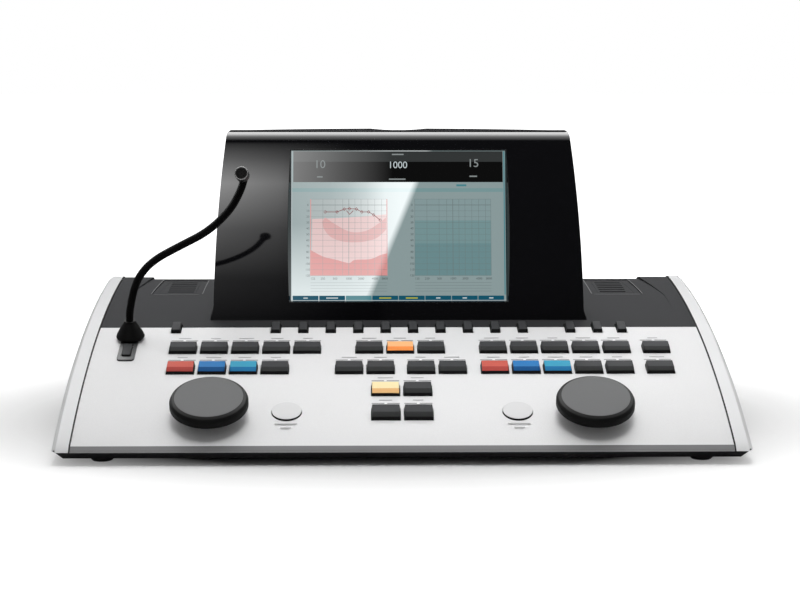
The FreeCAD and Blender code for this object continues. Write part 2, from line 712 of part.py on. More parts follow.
def rear_deck():
    """Deck shell with the lid's pocket, the valley, louvre openings and rear window."""
    front = PANEL_LEN + SEAM
    high, low = skin(front, -HOLE_HIGH), skin(front, HOLE_DEEP)
    behind = slab(loop([V(0, high.y, DEPTH), high, low, V(0, low.y, 0), V(0, DEPTH, 0), V(0, DEPTH, DEPTH)]),
                  -WIDTH, WIDTH)
    whole = slab(skin_section(0.0), -SKIN_HALF_X, SKIN_HALF_X).common(behind)
    shell = whole.cut(slab(skin_section(DECK_T), -WIDTH, WIDTH))
    tub_half = POCKET_X + POCKET_WALL
    tub = slab(pocket_section(POCKET_R + POCKET_WALL), -tub_half, tub_half).common(whole)
    void = slab(pocket_section(POCKET_R), -POCKET_X, POCKET_X)
    body = shell.fuse(tub)
    pin_holes = Part.makeCylinder(PIN_R + POCKET_GAP, 2 * WIDTH, V(-WIDTH, LID_Y, LID_AXIS_Z), V(1, 0, 0))
    ledge = FN_KEY_S + FN_KEY_L / 2.0 + FLANGE_EXTRA + POCKET_GAP
    relief = slab([skin_arc(PANEL_LEN, ledge, PANEL_T),
                   line(skin(ledge, PANEL_T), skin(ledge, RELIEF_DEEP)),
                   skin_arc(PANEL_LEN, ledge, RELIEF_DEEP),
                   line(skin(PANEL_LEN, PANEL_T), skin(PANEL_LEN, RELIEF_DEEP))], -WIDTH, WIDTH)
    window = box(-CONN_HALF_X, CONN_HALF_X, BACK_Y - 2 * DECK_T, REAR_Y, CONN_LOW, CONN_HIGH)
    cuts = [void, valley_cut(), pin_holes, relief, window] + function_key_cuts()
    recess = above_valley(LOUVRE_RECESS, SKIN_HALF_X)
    for side in (-1, 1):
        cuts.append(recess.common(louvre_outline(side, 0.0, 0.0)))
        cuts.append(louvre_outline(side, GRILLE_MARGIN, GRILLE_FRONT_MARGIN).common(
            box(-WIDTH, WIDTH, 0, DEPTH, LID_AXIS_Z - DECK_T, DEPTH)))
    return body.cut(cuts)


def cheek(side):
    """End cheek: a shallow closed cap, chamfered round its outer face."""
    x_in, x_out = SEAM_X + SEAM / 2.0, WIDTH / 2.0
    solid = slab(skin_section(-CHEEK_PROUD), x_in, x_out)
    rim = [e for e in solid.Edges
           if all(abs(v.X - x_out) < TOUCH for v in e.Vertexes)
           and max(v.Z for v in e.Vertexes) > SPLIT_Z + OVERRUN]
    solid = solid.makeChamfer(CHEEK_CHAMFER, rim)
    core = slab(skin_section(CHEEK_WALL), x_in - OVERRUN, x_out - CHEEK_WALL)
    core.translate(V(0, 0, -TOUCH))
    solid = solid.cut(core)
    return solid if side > 0 else solid.mirror(V(0, 0, 0), V(1, 0, 0))


def tray_block(inset, z0, z1):
    """Block whose sides lean out from the tray's floor to its rim."""
    rings = []
    for z in (z0, z1):
        share = (SPLIT_Z - z) / TRAY_H
        gap = TRAY_INSET + TRAY_FLARE * share + inset
        x, y = WIDTH / 2.0 - gap, DEPTH / 2.0 - gap
        rings.append(Part.makePolygon([V(-x, -y, z), V(x, -y, z), V(x, y, z), V(-x, y, z), V(-x, -y, z)]))
    return Part.makeLoft(rings, True, True)


def foot_places():
    y = DEPTH / 2.0 - FOOT_IN
    return [(x, sy * y) for x in (-FOOT_X, FOOT_X) for sy in (-1, 1)]


def base_tray():
    floor = FOOT_PROUD
    pan = tray_block(0.0, floor, SPLIT_Z).cut(
        tray_block(TRAY_WALL, floor + TRAY_WALL, SPLIT_Z + OVERRUN))
    seats = [pillar(FOOT_R + SEAT_GAP, floor - OVERRUN, floor + FOOT_RECESS, x, y)
             for x, y in foot_places()]
    return pan.cut(seats)


def feet():
    made = []
    for x, y in foot_places():
        foot = revolve([(0, 0), (FOOT_R - FOOT_CHAMFER, 0), (FOOT_R, FOOT_CHAMFER),
                        (FOOT_R, FOOT_PROUD + FOOT_RECESS), (0, FOOT_PROUD + FOOT_RECESS)])
        foot.translate(V(x, y, 0))
        made.append(foot)
    return Part.Compound(made)


def hinge_brackets():
    """Two bearing blocks screwed to the outside of the pocket's side walls, under the deck."""
    made = []
    room = slab(skin_section(DECK_T + SEAM), -WIDTH, WIDTH)
    x0 = POCKET_X + POCKET_WALL
    for side in (-1, 1):
        half = BRACKET_H / 2.0
        xs = sorted((side * x0, side * (x0 + BRACKET_W)))
        axis = V(xs[0], LID_Y, LID_AXIS_Z)
        body = box(xs[0], xs[1], LID_Y - half, LID_Y + half, LID_AXIS_Z - BRACKET_H, LID_AXIS_Z + PIN_R)
        body = body.fuse(Part.makeCylinder(PIN_R + BRACKET_BOSS, BRACKET_W, axis, V(1, 0, 0)))
        bore = Part.makeCylinder(PIN_R + RUN_GAP, WIDTH, V(-WIDTH / 2.0, LID_Y, LID_AXIS_Z), V(1, 0, 0))
        made.append(body.common(room).cut(bore))
    return Part.Compound(made)


# ------------------------------------------------------------------ board, encoders, dials
def above_board():
    """Slab between the top of the key board and the skin."""
    s0, s1 = BOARD_S
    p0, p1 = skin(s0, BOARD_DEPTH), skin(s1, BOARD_DEPTH)
    return slab(loop([p0, p1, V(0, p1.y, DEPTH), V(0, p0.y, DEPTH)]), -BOARD_HALF_X, BOARD_HALF_X)


def key_board():
    """Printed board with a switch under every key and spacers up to the panel."""
    s0, s1 = BOARD_S
    p0, p1 = skin(s0, BOARD_DEPTH), skin(s1, BOARD_DEPTH)
    down = (p1 - p0).cross(V(1, 0, 0)).normalize()
    down = down if down.z < 0 else down * -1.0
    board = slab(loop([p0, p1, p1 + down * BOARD_T, p0 + down * BOARD_T]), -BOARD_HALF_X, BOARD_HALF_X)
    top = STEM_END - SWITCH_GAP
    spots = [(x, s, top - KEY_TRAVEL) for _, x, s in all_keys()]
    spots += [(x, FN_KEY_S, top - KEY_TRAVEL) for x in function_places()]
    spots += [(side * TONE_X, TONE_S, top - TONE_TRAVEL) for side in (-1, 1)]
    spots += [(MIC_X, TALK_S, top - TALK_TRAVEL)]
    posts = [on_skin(block(SWITCH_W, SWITCH_W, -HOLE_DEEP, z), x, s) for x, s, z in spots]
    posts += [on_skin(pillar(SPACER_R, -HOLE_DEEP, -PANEL_T - SEAM), x, s)
              for x in SPACER_X for s in SPACER_S]
    room = above_board()
    return board.fuse([post.common(room) for post in posts])


def encoders():
    made = []
    for side in (-1, 1):
        body = block(ENCODER_W, ENCODER_W, -HOLE_DEEP, ENCODER_NECK - SHAFT_LEN).fuse(
            pillar(BUSH_R, -SHAFT_LEN, DIAL_GAP - SEAM))
        body = body.cut(pillar(SHAFT_R + RUN_GAP, -SHAFT_LEN - SEAM, DIAL_GAP))
        made.append(on_skin(body, side * DIAL_X, DIAL_S).common(above_board()))
    return Part.Compound(made)


def dial():
    """Dial with a rounded shoulder, a finger dish, a hollow underside and its shaft."""
    top, low = DIAL_GAP + DIAL_H, DIAL_GAP
    inner, roof = DIAL_R - DIAL_WALL, DIAL_GAP + DIAL_H - 2 * DIAL_WALL
    hub, hub_low = SHAFT_R + DIAL_WALL, low + DIAL_HUB_UP
    brow = DIAL_R - DIAL_SHOULDER
    shoulder = []
    for n in range(DIAL_SHOULDER_STEPS + 1):
        turn = math.pi / 2.0 * n / DIAL_SHOULDER_STEPS
        shoulder.append((brow + DIAL_SHOULDER * math.cos(turn),
                         top - DIAL_SHOULDER + DIAL_SHOULDER * math.sin(turn)))
    return revolve([
        (0, -SHAFT_LEN), (SHAFT_R, -SHAFT_LEN), (SHAFT_R, hub_low), (hub, hub_low), (hub, roof),
        (inner, roof), (inner, low), (DIAL_R, low)] + shoulder + [
        (brow - DIAL_DISH_RUN, top - DIAL_DISH), (0, top - DIAL_DISH)])


# ------------------------------------------------------------------ microphone
def mic_plate():
    outline = block(MIC_PLATE_W, MIC_PLATE_L, -HOLE_HIGH, HOLE_HIGH)
    outline = outline.makeFillet(MIC_PLATE_R, upright_edges(outline))
    over = slab(skin_section(-MIC_PLATE_T), -WIDTH, WIDTH).cut(slab(skin_section(0.0), -WIDTH, WIDTH))
    plate = on_skin(outline, MIC_X, MIC_PLATE_S).common(over)
    socket = on_skin(pillar(MIC_SOCKET_R, -MIC_PIN_LEN - MIC_SOCKET_FLOOR - SEAM, MIC_PLATE_T), MIC_X, MIC_S)
    bore = on_skin(pillar(MIC_PIN_R + RUN_GAP, -MIC_PIN_LEN - SEAM, MIC_PLATE_T + OVERRUN), MIC_X, MIC_S)
    slot = on_skin(key_hole(TALK_W, TALK_L), MIC_X, TALK_S)
    return plate.fuse(socket).cut([bore, slot])


def talk_button():
    cap = chamfered(block(TALK_W, TALK_L, FLANGE_TOP, TALK_H), TALK_R)
    return cap.fuse(plunger(TALK_W, TALK_L))


def mic_boot():
    """Rubber boot over the neck's foot, with the swivel pin below it."""
    low, edge = MIC_PLATE_T + BOOT_GAP, BOOT_FLANGE_EDGE
    rim = low + BOOT_FLANGE_H
    waist_r = (BOOT_R - edge + BOOT_TOP_R) / 2.0 - BOOT_FLARE
    body = revolve([
        (0, -MIC_PIN_LEN), (MIC_PIN_R, -MIC_PIN_LEN), (MIC_PIN_R, low), (BOOT_R - edge, low),
        (BOOT_R, low + edge), (BOOT_R, rim - edge), (BOOT_R - edge, rim),
        (waist_r, (rim + BOOT_H) / 2.0), (BOOT_TOP_R, BOOT_H - BOOT_TOP_EDGE),
        (BOOT_TOP_R - BOOT_TOP_EDGE, BOOT_H), (NECK_R, BOOT_H), (NECK_R, BOOT_H - NECK_SINK),
        (0, BOOT_H - NECK_SINK)])
    return on_skin(body, MIC_X, MIC_S)


def neck_corners():
    start = skin(MIC_S, -(BOOT_H - NECK_SINK), MIC_X)
    first = skin(MIC_S, -(BOOT_H + NECK_STRAIGHT), MIC_X)
    bends = [first + V(*bend) for bend in NECK_BENDS]
    return [start, first] + bends + [bends[-1] + V(*HEAD_AIM).normalize() * NECK_END]


def bent_path(points):
    """Straight runs joined by tangent arcs, each as large as its two runs allow."""
    edges, at = [], points[0]
    for before, corner, after in zip(points, points[1:], points[2:]):
        back, ahead = (before - corner), (after - corner)
        turn = math.pi - back.getAngle(ahead)
        reach = BEND_SHARE * min(back.Length, ahead.Length)
        back.normalize()
        ahead.normalize()
        p, q = corner + back * reach, corner + ahead * reach
        radius = reach / math.tan(turn / 2.0)
        middle = (back + ahead).normalize()
        mid = corner + middle * (radius / math.cos(turn / 2.0) - radius)
        edges += [line(at, p), arc(p, mid, q)]
        print("neck bend radius %.1f" % radius)
        at = q
    edges.append(line(at, points[-1]))
    return Part.Wire(edges)


def gooseneck():
    corners = neck_corners()
    path = bent_path(corners)
    ring = Part.Wire(Part.makeCircle(NECK_R, corners[0], corners[1] - corners[0]))
    tube = path.makePipeShell([ring], True, False)
    print("neck volume %.0f, section by length %.0f" % (
        tube.Volume, math.pi * NECK_R ** 2 * path.Length))
    return tube


def mic_head():
    """Capsule with a raised rim round its recessed front."""
    inner, floor = HEAD_R - HEAD_RIM, HEAD_LEN - HEAD_RIM_DEEP
    body = revolve([(0, 0), (HEAD_R - HEAD_TAPER, 0), (HEAD_R, HEAD_TAPER_LEN), (HEAD_R, HEAD_LEN),
                    (inner, HEAD_LEN), (inner, floor), (0, floor)])
    body.Placement = FreeCAD.Placement(neck_corners()[-1], FreeCAD.Rotation(V(0, 0, 1), V(*HEAD_AIM)))
    return body


# ------------------------------------------------------------------ rear connectors
def jack_places():
    return [JACK_X + n * JACK_PITCH for n in range(JACKS)]


def jack_sockets():
    """Turned sockets whose axes run along +Y from the connector panel's face."""
    bore_r, out, end = JACK_BORE_R, JACK_FLANGE_T, JACK_END - JACK_LEN
    made = []
    for x in jack_places():
        socket = revolve([(0, -JACK_LEN), (JACK_R, -JACK_LEN), (JACK_R, 0), (JACK_FLANGE_R, 0),
                          (JACK_FLANGE_R, out), (bore_r, out), (bore_r, end), (0, end)])
        socket.rotate(V(0, 0, 0), V(1, 0, 0), -90)
        socket.translate(V(x, JACK_FACE_Y, JACK_Z))
        made.append(socket)
    return Part.Compound(made)


def power_inlet():
    w, h, y = INLET_W / 2.0, INLET_H / 2.0, JACK_FACE_Y
    out = JACK_FLANGE_T
    body = box(INLET_X - w, INLET_X + w, y - INLET_LEN, y + out, JACK_Z - h, JACK_Z + h)
    flange = box(INLET_X - w - INLET_FLANGE, INLET_X + w + INLET_FLANGE, y, y + out,
                 JACK_Z - h - INLET_FLANGE, JACK_Z + h + INLET_FLANGE)
    hollow = box(INLET_X - w + INLET_WALL, INLET_X + w - INLET_WALL, y - INLET_LEN + INLET_WALL,
                 y + out + OVERRUN, JACK_Z - h + INLET_WALL, JACK_Z + h - INLET_WALL)
    pins = [Part.makeCylinder(INLET_PIN_R, INLET_PIN_LEN, V(INLET_X + px, y - INLET_LEN, JACK_Z + pz),
                              V(0, 1, 0)) for px, pz in INLET_PINS]
    return body.fuse(flange).cut(hollow).fuse(pins)


def connector_panel():
    low, high = CONN_LOW - CONN_OVERLAP, CONN_HIGH + CONN_OVERLAP
    half = CONN_HALF_X + CONN_OVERLAP
    plate = box(-half, half, JACK_FACE_Y - CONN_T, JACK_FACE_Y, low, high)
    cuts = [Part.makeCylinder(JACK_R + JACK_FIT, DEPTH, V(x, 0, JACK_Z), V(0, 1, 0))
            for x in jack_places()]
    w, h = INLET_W / 2.0 + JACK_FIT, INLET_H / 2.0 + JACK_FIT
    cuts.append(box(INLET_X - w, INLET_X + w, 0, DEPTH, JACK_Z - h, JACK_Z + h))
    return plate.cut(cuts)


# ------------------------------------------------------------------ write every piece
save("base_tray", base_tray())
save("feet", feet())
save("front_panel", front_panel())
save("rear_deck", rear_deck())
save("right_cheek", cheek(1))
save("left_cheek", cheek(-1))
save("connector_panel", connector_panel())
save("jack_sockets", jack_sockets())
save("power_inlet", power_inlet())
save("speaker_grilles", Part.Compound([speaker_grille(-1), speaker_grille(1)]))
save("hinge_brackets", hinge_brackets())
save("key_board", key_board())
save("encoders", encoders())

LID = lid_side().common(lid_front())
save("display_bezel", lid_place(display_bezel(LID)))
save("display_cover", lid_place(display_cover(LID)))
save("lcd_screen", lid_place(lcd_screen()))

save("mic_plate", mic_plate())
save("talk_button", on_skin(talk_button(), MIC_X, TALK_S))
save("mic_boot", mic_boot())
save("gooseneck", gooseneck())
save("mic_head", mic_head())

KEY = key_shape()
for key_name, key_x, key_s in all_keys():
    save(key_name, on_skin(KEY, key_x, key_s))

FN_KEY = function_key_shape()
for group, places in (("left", FN_LEFT), ("centre", centre_function_keys()), ("right", FN_RIGHT)):
    save("fn_keys_" + group, Part.Compound([on_skin(FN_KEY, x, FN_KEY_S) for x in places]))

save("tone_switch_left", on_skin(tone_shape(), -TONE_X, TONE_S))
save("tone_switch_right", on_skin(tone_shape(), TONE_X, TONE_S))
save("dial_left", on_skin(dial(), -DIAL_X, DIAL_S))
save("dial_right", on_skin(dial(), DIAL_X, DIAL_S))
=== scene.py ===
# %% [markdown]
# # A desktop audiometer, dressed over its frame
# The frame is the engineer's model: every moulding, key and hinge at its true size. This
# lesson gives each visible piece its finish, and remodels the ones whose curves or soft
# edges catch the light. Lengths are written in millimetres and turned into metres by MM.

# %% Load the frame
import json
import math

import bmesh
import bpy
from mathutils import Matrix, Vector

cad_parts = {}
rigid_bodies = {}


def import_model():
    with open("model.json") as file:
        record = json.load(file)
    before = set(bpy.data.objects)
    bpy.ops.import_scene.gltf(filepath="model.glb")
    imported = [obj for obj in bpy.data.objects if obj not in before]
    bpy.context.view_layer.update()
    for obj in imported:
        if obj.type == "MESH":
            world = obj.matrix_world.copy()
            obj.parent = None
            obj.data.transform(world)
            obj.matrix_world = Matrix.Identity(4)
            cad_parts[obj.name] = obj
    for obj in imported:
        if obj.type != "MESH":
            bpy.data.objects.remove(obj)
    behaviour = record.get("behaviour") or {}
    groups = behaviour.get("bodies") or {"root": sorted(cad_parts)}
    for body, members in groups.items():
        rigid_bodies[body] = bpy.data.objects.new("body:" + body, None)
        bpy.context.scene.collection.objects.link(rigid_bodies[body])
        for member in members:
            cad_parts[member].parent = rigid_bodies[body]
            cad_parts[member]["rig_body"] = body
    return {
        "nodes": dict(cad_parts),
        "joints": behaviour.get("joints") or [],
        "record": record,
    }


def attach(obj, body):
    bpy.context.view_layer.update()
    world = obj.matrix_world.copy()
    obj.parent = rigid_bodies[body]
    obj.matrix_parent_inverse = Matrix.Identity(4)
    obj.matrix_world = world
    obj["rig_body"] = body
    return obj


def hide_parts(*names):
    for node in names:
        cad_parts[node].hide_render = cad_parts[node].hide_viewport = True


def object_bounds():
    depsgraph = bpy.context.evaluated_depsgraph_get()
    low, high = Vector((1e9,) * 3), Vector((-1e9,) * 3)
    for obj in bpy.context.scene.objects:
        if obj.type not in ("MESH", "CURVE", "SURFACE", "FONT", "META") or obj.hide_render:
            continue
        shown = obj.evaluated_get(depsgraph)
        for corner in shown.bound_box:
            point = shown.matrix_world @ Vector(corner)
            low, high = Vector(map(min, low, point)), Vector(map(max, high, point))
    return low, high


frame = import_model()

MM = 0.001
CAD_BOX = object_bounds()
JOINTS = {joint["name"]: joint for joint in frame["joints"]}
SIZE = CAD_BOX[1] - CAD_BOX[0]
FRONT = CAD_BOX[0].y
print("frame %.0f x %.0f x %.0f mm" % tuple(side / MM for side in SIZE))


def deselect():
    for ob in bpy.context.selected_objects:
        ob.select_set(False)


deselect()

# %% [markdown]
# ## The camera
# A console like this is shot from the front with a long lens, a little above the desk, so
# the keys read as rows and the screen still looks square. The camera stands 1.5 m away and
# looks down by about eight degrees.

# %% Camera
CAMERA_AT = (-0.0271, -1.5314, 0.3252)
CAMERA_DOWN = 8.45
CAMERA_YAW = 1.04
CAMERA_ROLL = 0.08
LENS = 83.8

bpy.ops.object.camera_add(location=CAMERA_AT)
camera = bpy.context.object
camera.name = "camera"
camera.data.lens = LENS
camera.data.sensor_width = 36.0
camera.rotation_mode = "XYZ"
turn = (Matrix.Rotation(math.radians(-CAMERA_YAW), 4, "Z")
        @ Matrix.Rotation(math.radians(90.0 - CAMERA_DOWN), 4, "X")
        @ Matrix.Rotation(math.radians(CAMERA_ROLL), 4, "Z"))
camera.rotation_euler = turn.to_euler()
bpy.context.scene.camera = camera
bpy.context.scene.view_settings.view_transform = "Standard"
deselect()

# %% [markdown]
# ## Tools for materials
# Each finish is a Principled shader with three things added: a slight drift of colour over
# the surface, a grain that bends the normal, and a roughness that isn't the same all over.
# All three read Object coordinates, so the grain has its true size on every piece.


# %% Material tools
CLOUD = 14.0                   # features per metre of the slow drift of colour and roughness
GRAIN_HEIGHT = 0.2 * MM
SPECKLE_DARK, SPECKLE_PALE = 0.55, 1.35
SPECKLE_SPAN = (0.38, 0.62)


def new_material(name):
    made = bpy.data.materials.new(name)
    made.use_nodes = True
    return made, made.node_tree.nodes, made.node_tree.links, made.node_tree.nodes["Principled BSDF"]


def noise_of(nodes, links, scale, detail=3.0):
    """Noise on Object coordinates; scale is in features per metre."""
    where = nodes.new("ShaderNodeTexCoord")
    noise = nodes.new("ShaderNodeTexNoise")
    noise.inputs["Scale"].default_value = scale
    noise.inputs["Detail"].default_value = detail
    links.new(where.outputs["Object"], noise.inputs["Vector"])
    return noise


def ramp(nodes, links, source, low, high, start=0.35, end=0.65):
    """Colour ramp between two colours, driven by a value."""
    node = nodes.new("ShaderNodeValToRGB")
    node.color_ramp.elements[0].position = start
    node.color_ramp.elements[0].color = (*low, 1.0)
    node.color_ramp.elements[1].position = end
    node.color_ramp.elements[1].color = (*high, 1.0)
    links.new(source, node.inputs["Fac"])
    return node


def grained(name, colour, rough, grain, depth, drift=0.06, rough_drift=0.08,
            metallic=0.0, spec=0.5, speckle=0.0):
    """Moulded or painted surface. grain is in features per metre, depth is the bump's strength,
    and drift and rough_drift say how far colour and roughness stray."""
    made, nodes, links, shader = new_material(name)
    cloud = noise_of(nodes, links, CLOUD)
    low = tuple(c * (1.0 - drift) for c in colour)
    high = tuple(min(1.0, c * (1.0 + drift)) for c in colour)
    tint = ramp(nodes, links, cloud.outputs["Fac"], low, high)
    fine = noise_of(nodes, links, grain, 4.0)
    if speckle > 0.0:
        blend = nodes.new("ShaderNodeMix")
        blend.data_type = "RGBA"
        blend.inputs["Factor"].default_value = speckle
        dots = ramp(nodes, links, fine.outputs["Fac"], tuple(c * SPECKLE_DARK for c in colour),
                    tuple(min(1.0, c * SPECKLE_PALE) for c in colour), *SPECKLE_SPAN)
        links.new(tint.outputs["Color"], blend.inputs["A"])
        links.new(dots.outputs["Color"], blend.inputs["B"])
        links.new(blend.outputs["Result"], shader.inputs["Base Color"])
    else:
        links.new(tint.outputs["Color"], shader.inputs["Base Color"])
    spread = nodes.new("ShaderNodeMapRange")
    spread.inputs["To Min"].default_value = max(0.02, rough - rough_drift)
    spread.inputs["To Max"].default_value = rough + rough_drift
    links.new(cloud.outputs["Fac"], spread.inputs["Value"])
    links.new(spread.outputs["Result"], shader.inputs["Roughness"])
    bump = nodes.new("ShaderNodeBump")
    bump.inputs["Strength"].default_value = depth
    bump.inputs["Distance"].default_value = GRAIN_HEIGHT
    links.new(fine.outputs["Fac"], bump.inputs["Height"])
    links.new(bump.outputs["Normal"], shader.inputs["Normal"])
    shader.inputs["Metallic"].default_value = metallic
    shader.inputs["Specular IOR Level"].default_value = spec
    return made


# %% [markdown]
# ## The finishes
# The key panel is a pale silver lacquer with a fine sparkle, the deck and the display's back
# are spark-eroded dark plastic, the bezel is polished black, the keys are a fine matte
# moulding in a few colours, and the dials are soft-touch rubber.

# %% Finishes
SILVER = grained("silver_lacquer", (0.71, 0.71, 0.715), 0.50, 2600.0, 0.10, 0.012, 0.03, spec=0.15,
                 speckle=0.10)
CHEEK = grained("pale_cheek", (0.72, 0.725, 0.73), 0.45, 1500.0, 0.05, 0.012, 0.04, spec=0.12)
# front facet of the panel: a grey darkened as painted shade
FACET = grained("facet_grey", (0.165, 0.165, 0.168), 0.5, 1500.0, 0.06, 0.03, 0.04, spec=0.08)
DECK = grained("deck_grey", (0.024, 0.0245, 0.026), 0.60, 1900.0, 0.22, 0.05, 0.05, spec=0.03,
               speckle=0.12)
TRAY = grained("tray_black", (0.008, 0.008, 0.009), 0.45, 1500.0, 0.2, spec=0.2)
GLOSS = grained("bezel_gloss", (0.004, 0.004, 0.005), 0.05, 120.0, 0.006, 0.0, 0.015)
COVER = grained("cover_dark", (0.02, 0.02, 0.022), 0.40, 1700.0, 0.2, spec=0.25)
KEY_BASE = grained("key_base_black", (0.004, 0.004, 0.004), 0.45, 1600.0, 0.10, spec=0.12)
DIAL = grained("dial_soft_touch", (0.086, 0.087, 0.089), 0.60, 2200.0, 0.10, 0.03, spec=0.15)
# side of the dials and tone switches, painted near black as shade
PAINTED_SIDE_SHADE = grained("dial_rim", (0.004, 0.004, 0.004), 0.50, 2200.0, 0.08, 0.03, spec=0.10)
TONE = grained("tone_switch_silver", (0.61, 0.61, 0.615), 0.45, 1900.0, 0.06, 0.02, spec=0.15)
RUBBER = grained("boot_rubber", (0.003, 0.003, 0.003), 0.5, 1200.0, 0.12, spec=0.08)
NECK = grained("neck_rubber", (0.002, 0.002, 0.002), 0.5, 1400.0, 0.15, spec=0.05)
MIC_PLATE = grained("mic_plate_dark", (0.020, 0.021, 0.022), 0.40, 1700.0, 0.12, spec=0.25)
REAR = grained("rear_plate", (0.05, 0.05, 0.053), 0.38, 1700.0, 0.1, spec=0.3)
SOCKET = grained("socket_black", (0.015, 0.015, 0.015), 0.35, 1500.0, 0.08, spec=0.3)
STEEL = grained("hinge_steel", (0.45, 0.45, 0.46), 0.32, 900.0, 0.08, metallic=1.0)
CAPSULE_RIM = grained("capsule_rim", (0.16, 0.16, 0.16), 0.30, 900.0, 0.05, metallic=1.0)
BOARD = grained("solder_mask", (0.02, 0.13, 0.05), 0.35, 500.0, 0.1)
FOOT = grained("foot_rubber", (0.015, 0.015, 0.015), 0.6, 1200.0, 0.2)
LEGEND = grained("legend_grey", (0.30, 0.30, 0.305), 0.5, 1500.0, 0.03, spec=0.2)
LEGEND_FAINT = grained("legend_faint", (0.42, 0.42, 0.425), 0.5, 1500.0, 0.03, spec=0.2)
# pale line round the speaker recesses: painted highlight of the recess edge
RECESS_HIGHLIGHT = grained("recess_line_grey", (0.12, 0.12, 0.123), 0.5, 1500.0, 0.03, spec=0.1)
LAMP = grained("lamp_pale", (0.85, 0.86, 0.86), 0.3, 1500.0, 0.02)


def key_finish(name, colour, shade):
    """Finish of a key's rear facet, and a darker copy as painted shade for the front facet."""
    return (grained(name, colour, 0.5, 1600.0, 0.08, 0.03, spec=0.03),
            grained(name + "_front", shade, 0.5, 1600.0, 0.08, 0.03, spec=0.03))


# Each key colour comes with a darker copy for its front facet, which is painted shade.
KEY_FINISH = {
    "key_dark": key_finish("key_dark", (0.040, 0.041, 0.043), (0.025, 0.026, 0.026)),
    "key_red": key_finish("key_red", (0.56, 0.11, 0.083), (0.42, 0.062, 0.05)),
    "key_blue": key_finish("key_blue", (0.030, 0.185, 0.46), (0.003, 0.075, 0.235)),
    "key_cyan": key_finish("key_cyan", (0.045, 0.33, 0.50), (0.010, 0.165, 0.37)),
    "key_orange": key_finish("key_orange", (1.0, 0.50, 0.22), (0.96, 0.30, 0.07)),
    "key_cream": key_finish("key_cream", (1.0, 0.83, 0.47), (0.90, 0.54, 0.23))}
KEY_DARK = KEY_FINISH["key_dark"][0]

NODE_FINISH = {
    "base_tray": TRAY, "feet": FOOT, "front_panel": SILVER, "rear_deck": DECK, "left_cheek": CHEEK,
    "right_cheek": CHEEK, "connector_panel": REAR, "jack_sockets": SOCKET, "power_inlet": SOCKET,
    "speaker_grilles": DECK, "hinge_brackets": STEEL, "key_board": BOARD, "encoders": STEEL,
    "mic_plate": MIC_PLATE, "display_bezel": GLOSS, "display_cover": COVER, "lcd_screen": SOCKET,
    "talk_button": KEY_DARK, "mic_boot": RUBBER, "gooseneck": NECK, "mic_head": KEY_BASE,
    "tone_switch_left": TONE, "tone_switch_right": TONE, "dial_left": DIAL, "dial_right": DIAL,
}
for node, ob in frame["nodes"].items():
    ob.data.materials.clear()
    ob.data.materials.append(NODE_FINISH.get(node, KEY_DARK))
print("finished", len(frame["nodes"]), "frame nodes")

# %% [markdown]
# ## Softening the mouldings
# No moulded or painted edge is knife sharp: it has a small radius that catches a line of
# light. A copy of each moulding is merged, its flat faces are joined, and a bevel modifier
# rounds the edges that turn by more than thirty degrees. The copy then stands for the node.


# %% Shaping tools
SAME_POINT = 0.004 * MM
FLAT = math.radians(0.4)
NEAR = 0.02                    # millimetres within which a point lies in a plane


def pick(piece):
    """Make this the only selected object."""
    deselect()
    piece.select_set(True)
    bpy.context.view_layer.objects.active = piece
    return piece


def edit(piece):
    pick(piece)
    bpy.ops.object.mode_set(mode="EDIT")
    bpy.ops.mesh.select_all(action="DESELECT")
    return bmesh.from_edit_mesh(piece.data)


def done():
    bpy.ops.object.mode_set(mode="OBJECT")


def take_all():
    bpy.ops.mesh.select_all(action="SELECT")


def face_outward():
    take_all()
    bpy.ops.mesh.normals_make_consistent(inside=False)


def choose(piece, test):
    """Select the vertices that pass a test, and the edges and faces between them."""
    bpy.ops.mesh.select_all(action="DESELECT")
    mesh = bmesh.from_edit_mesh(piece.data)
    mesh.select_mode = {"VERT"}
    for vert in mesh.verts:
        vert.select = test(vert.co)
    mesh.select_flush_mode()


def bare(name):
    """New piece with nothing in it, open for editing."""
    deselect()
    bpy.ops.mesh.primitive_plane_add(size=1.0)
    piece = bpy.context.object
    piece.name = name
    edit(piece)
    take_all()
    bpy.ops.mesh.delete(type="VERT")
    return piece, bmesh.from_edit_mesh(piece.data)


def joined(pieces):
    """Join pieces into the first of them."""
    deselect()
    for piece in pieces:
        piece.select_set(True)
    bpy.context.view_layer.objects.active = pieces[0]
    if len(pieces) > 1:
        bpy.ops.object.join()
    return bpy.context.view_layer.objects.active


def apply_modifiers(piece):
    pick(piece)
    for modifier in list(piece.modifiers):
        bpy.ops.object.modifier_apply(modifier=modifier.name)


def smooth(piece, angle=35.0):
    pick(piece)
    bpy.ops.object.shade_smooth_by_angle(angle=math.radians(angle))


def bevel(piece, width, segments=2, angle=30.0):
    """Round the sharp edges of a piece; width in millimetres."""
    made = piece.modifiers.new("soft_edge", "BEVEL")
    made.width = width * MM
    made.segments = segments
    made.limit_method = "ANGLE"
    made.angle_limit = math.radians(angle)
    apply_modifiers(piece)


def finish(piece, name, body, material=None, replaces=(), angle=35.0):
    """Name a piece, give it its finish, smooth it and let it ride on its body."""
    piece.name = name
    piece.data.name = name
    if material is not None:
        piece.data.materials.clear()
        piece.data.materials.append(material)
    smooth(piece, angle)
    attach(piece, body)
    for node in replaces:
        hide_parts(node)
    deselect()
    return piece


def weighted(piece):
    """Let the large faces rule the shading, so that a rounded rim doesn't bend them."""
    made = piece.modifiers.new("weights", "WEIGHTED_NORMAL")
    made.weight = 100
    made.keep_sharp = True
    apply_modifiers(piece)
    deselect()


def body_of(node):
    return frame["nodes"][node]["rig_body"]


def slot_of(node):
    return next(sub["material_slot"] for sub in frame["record"]["subparts"] if sub["node"] == node)


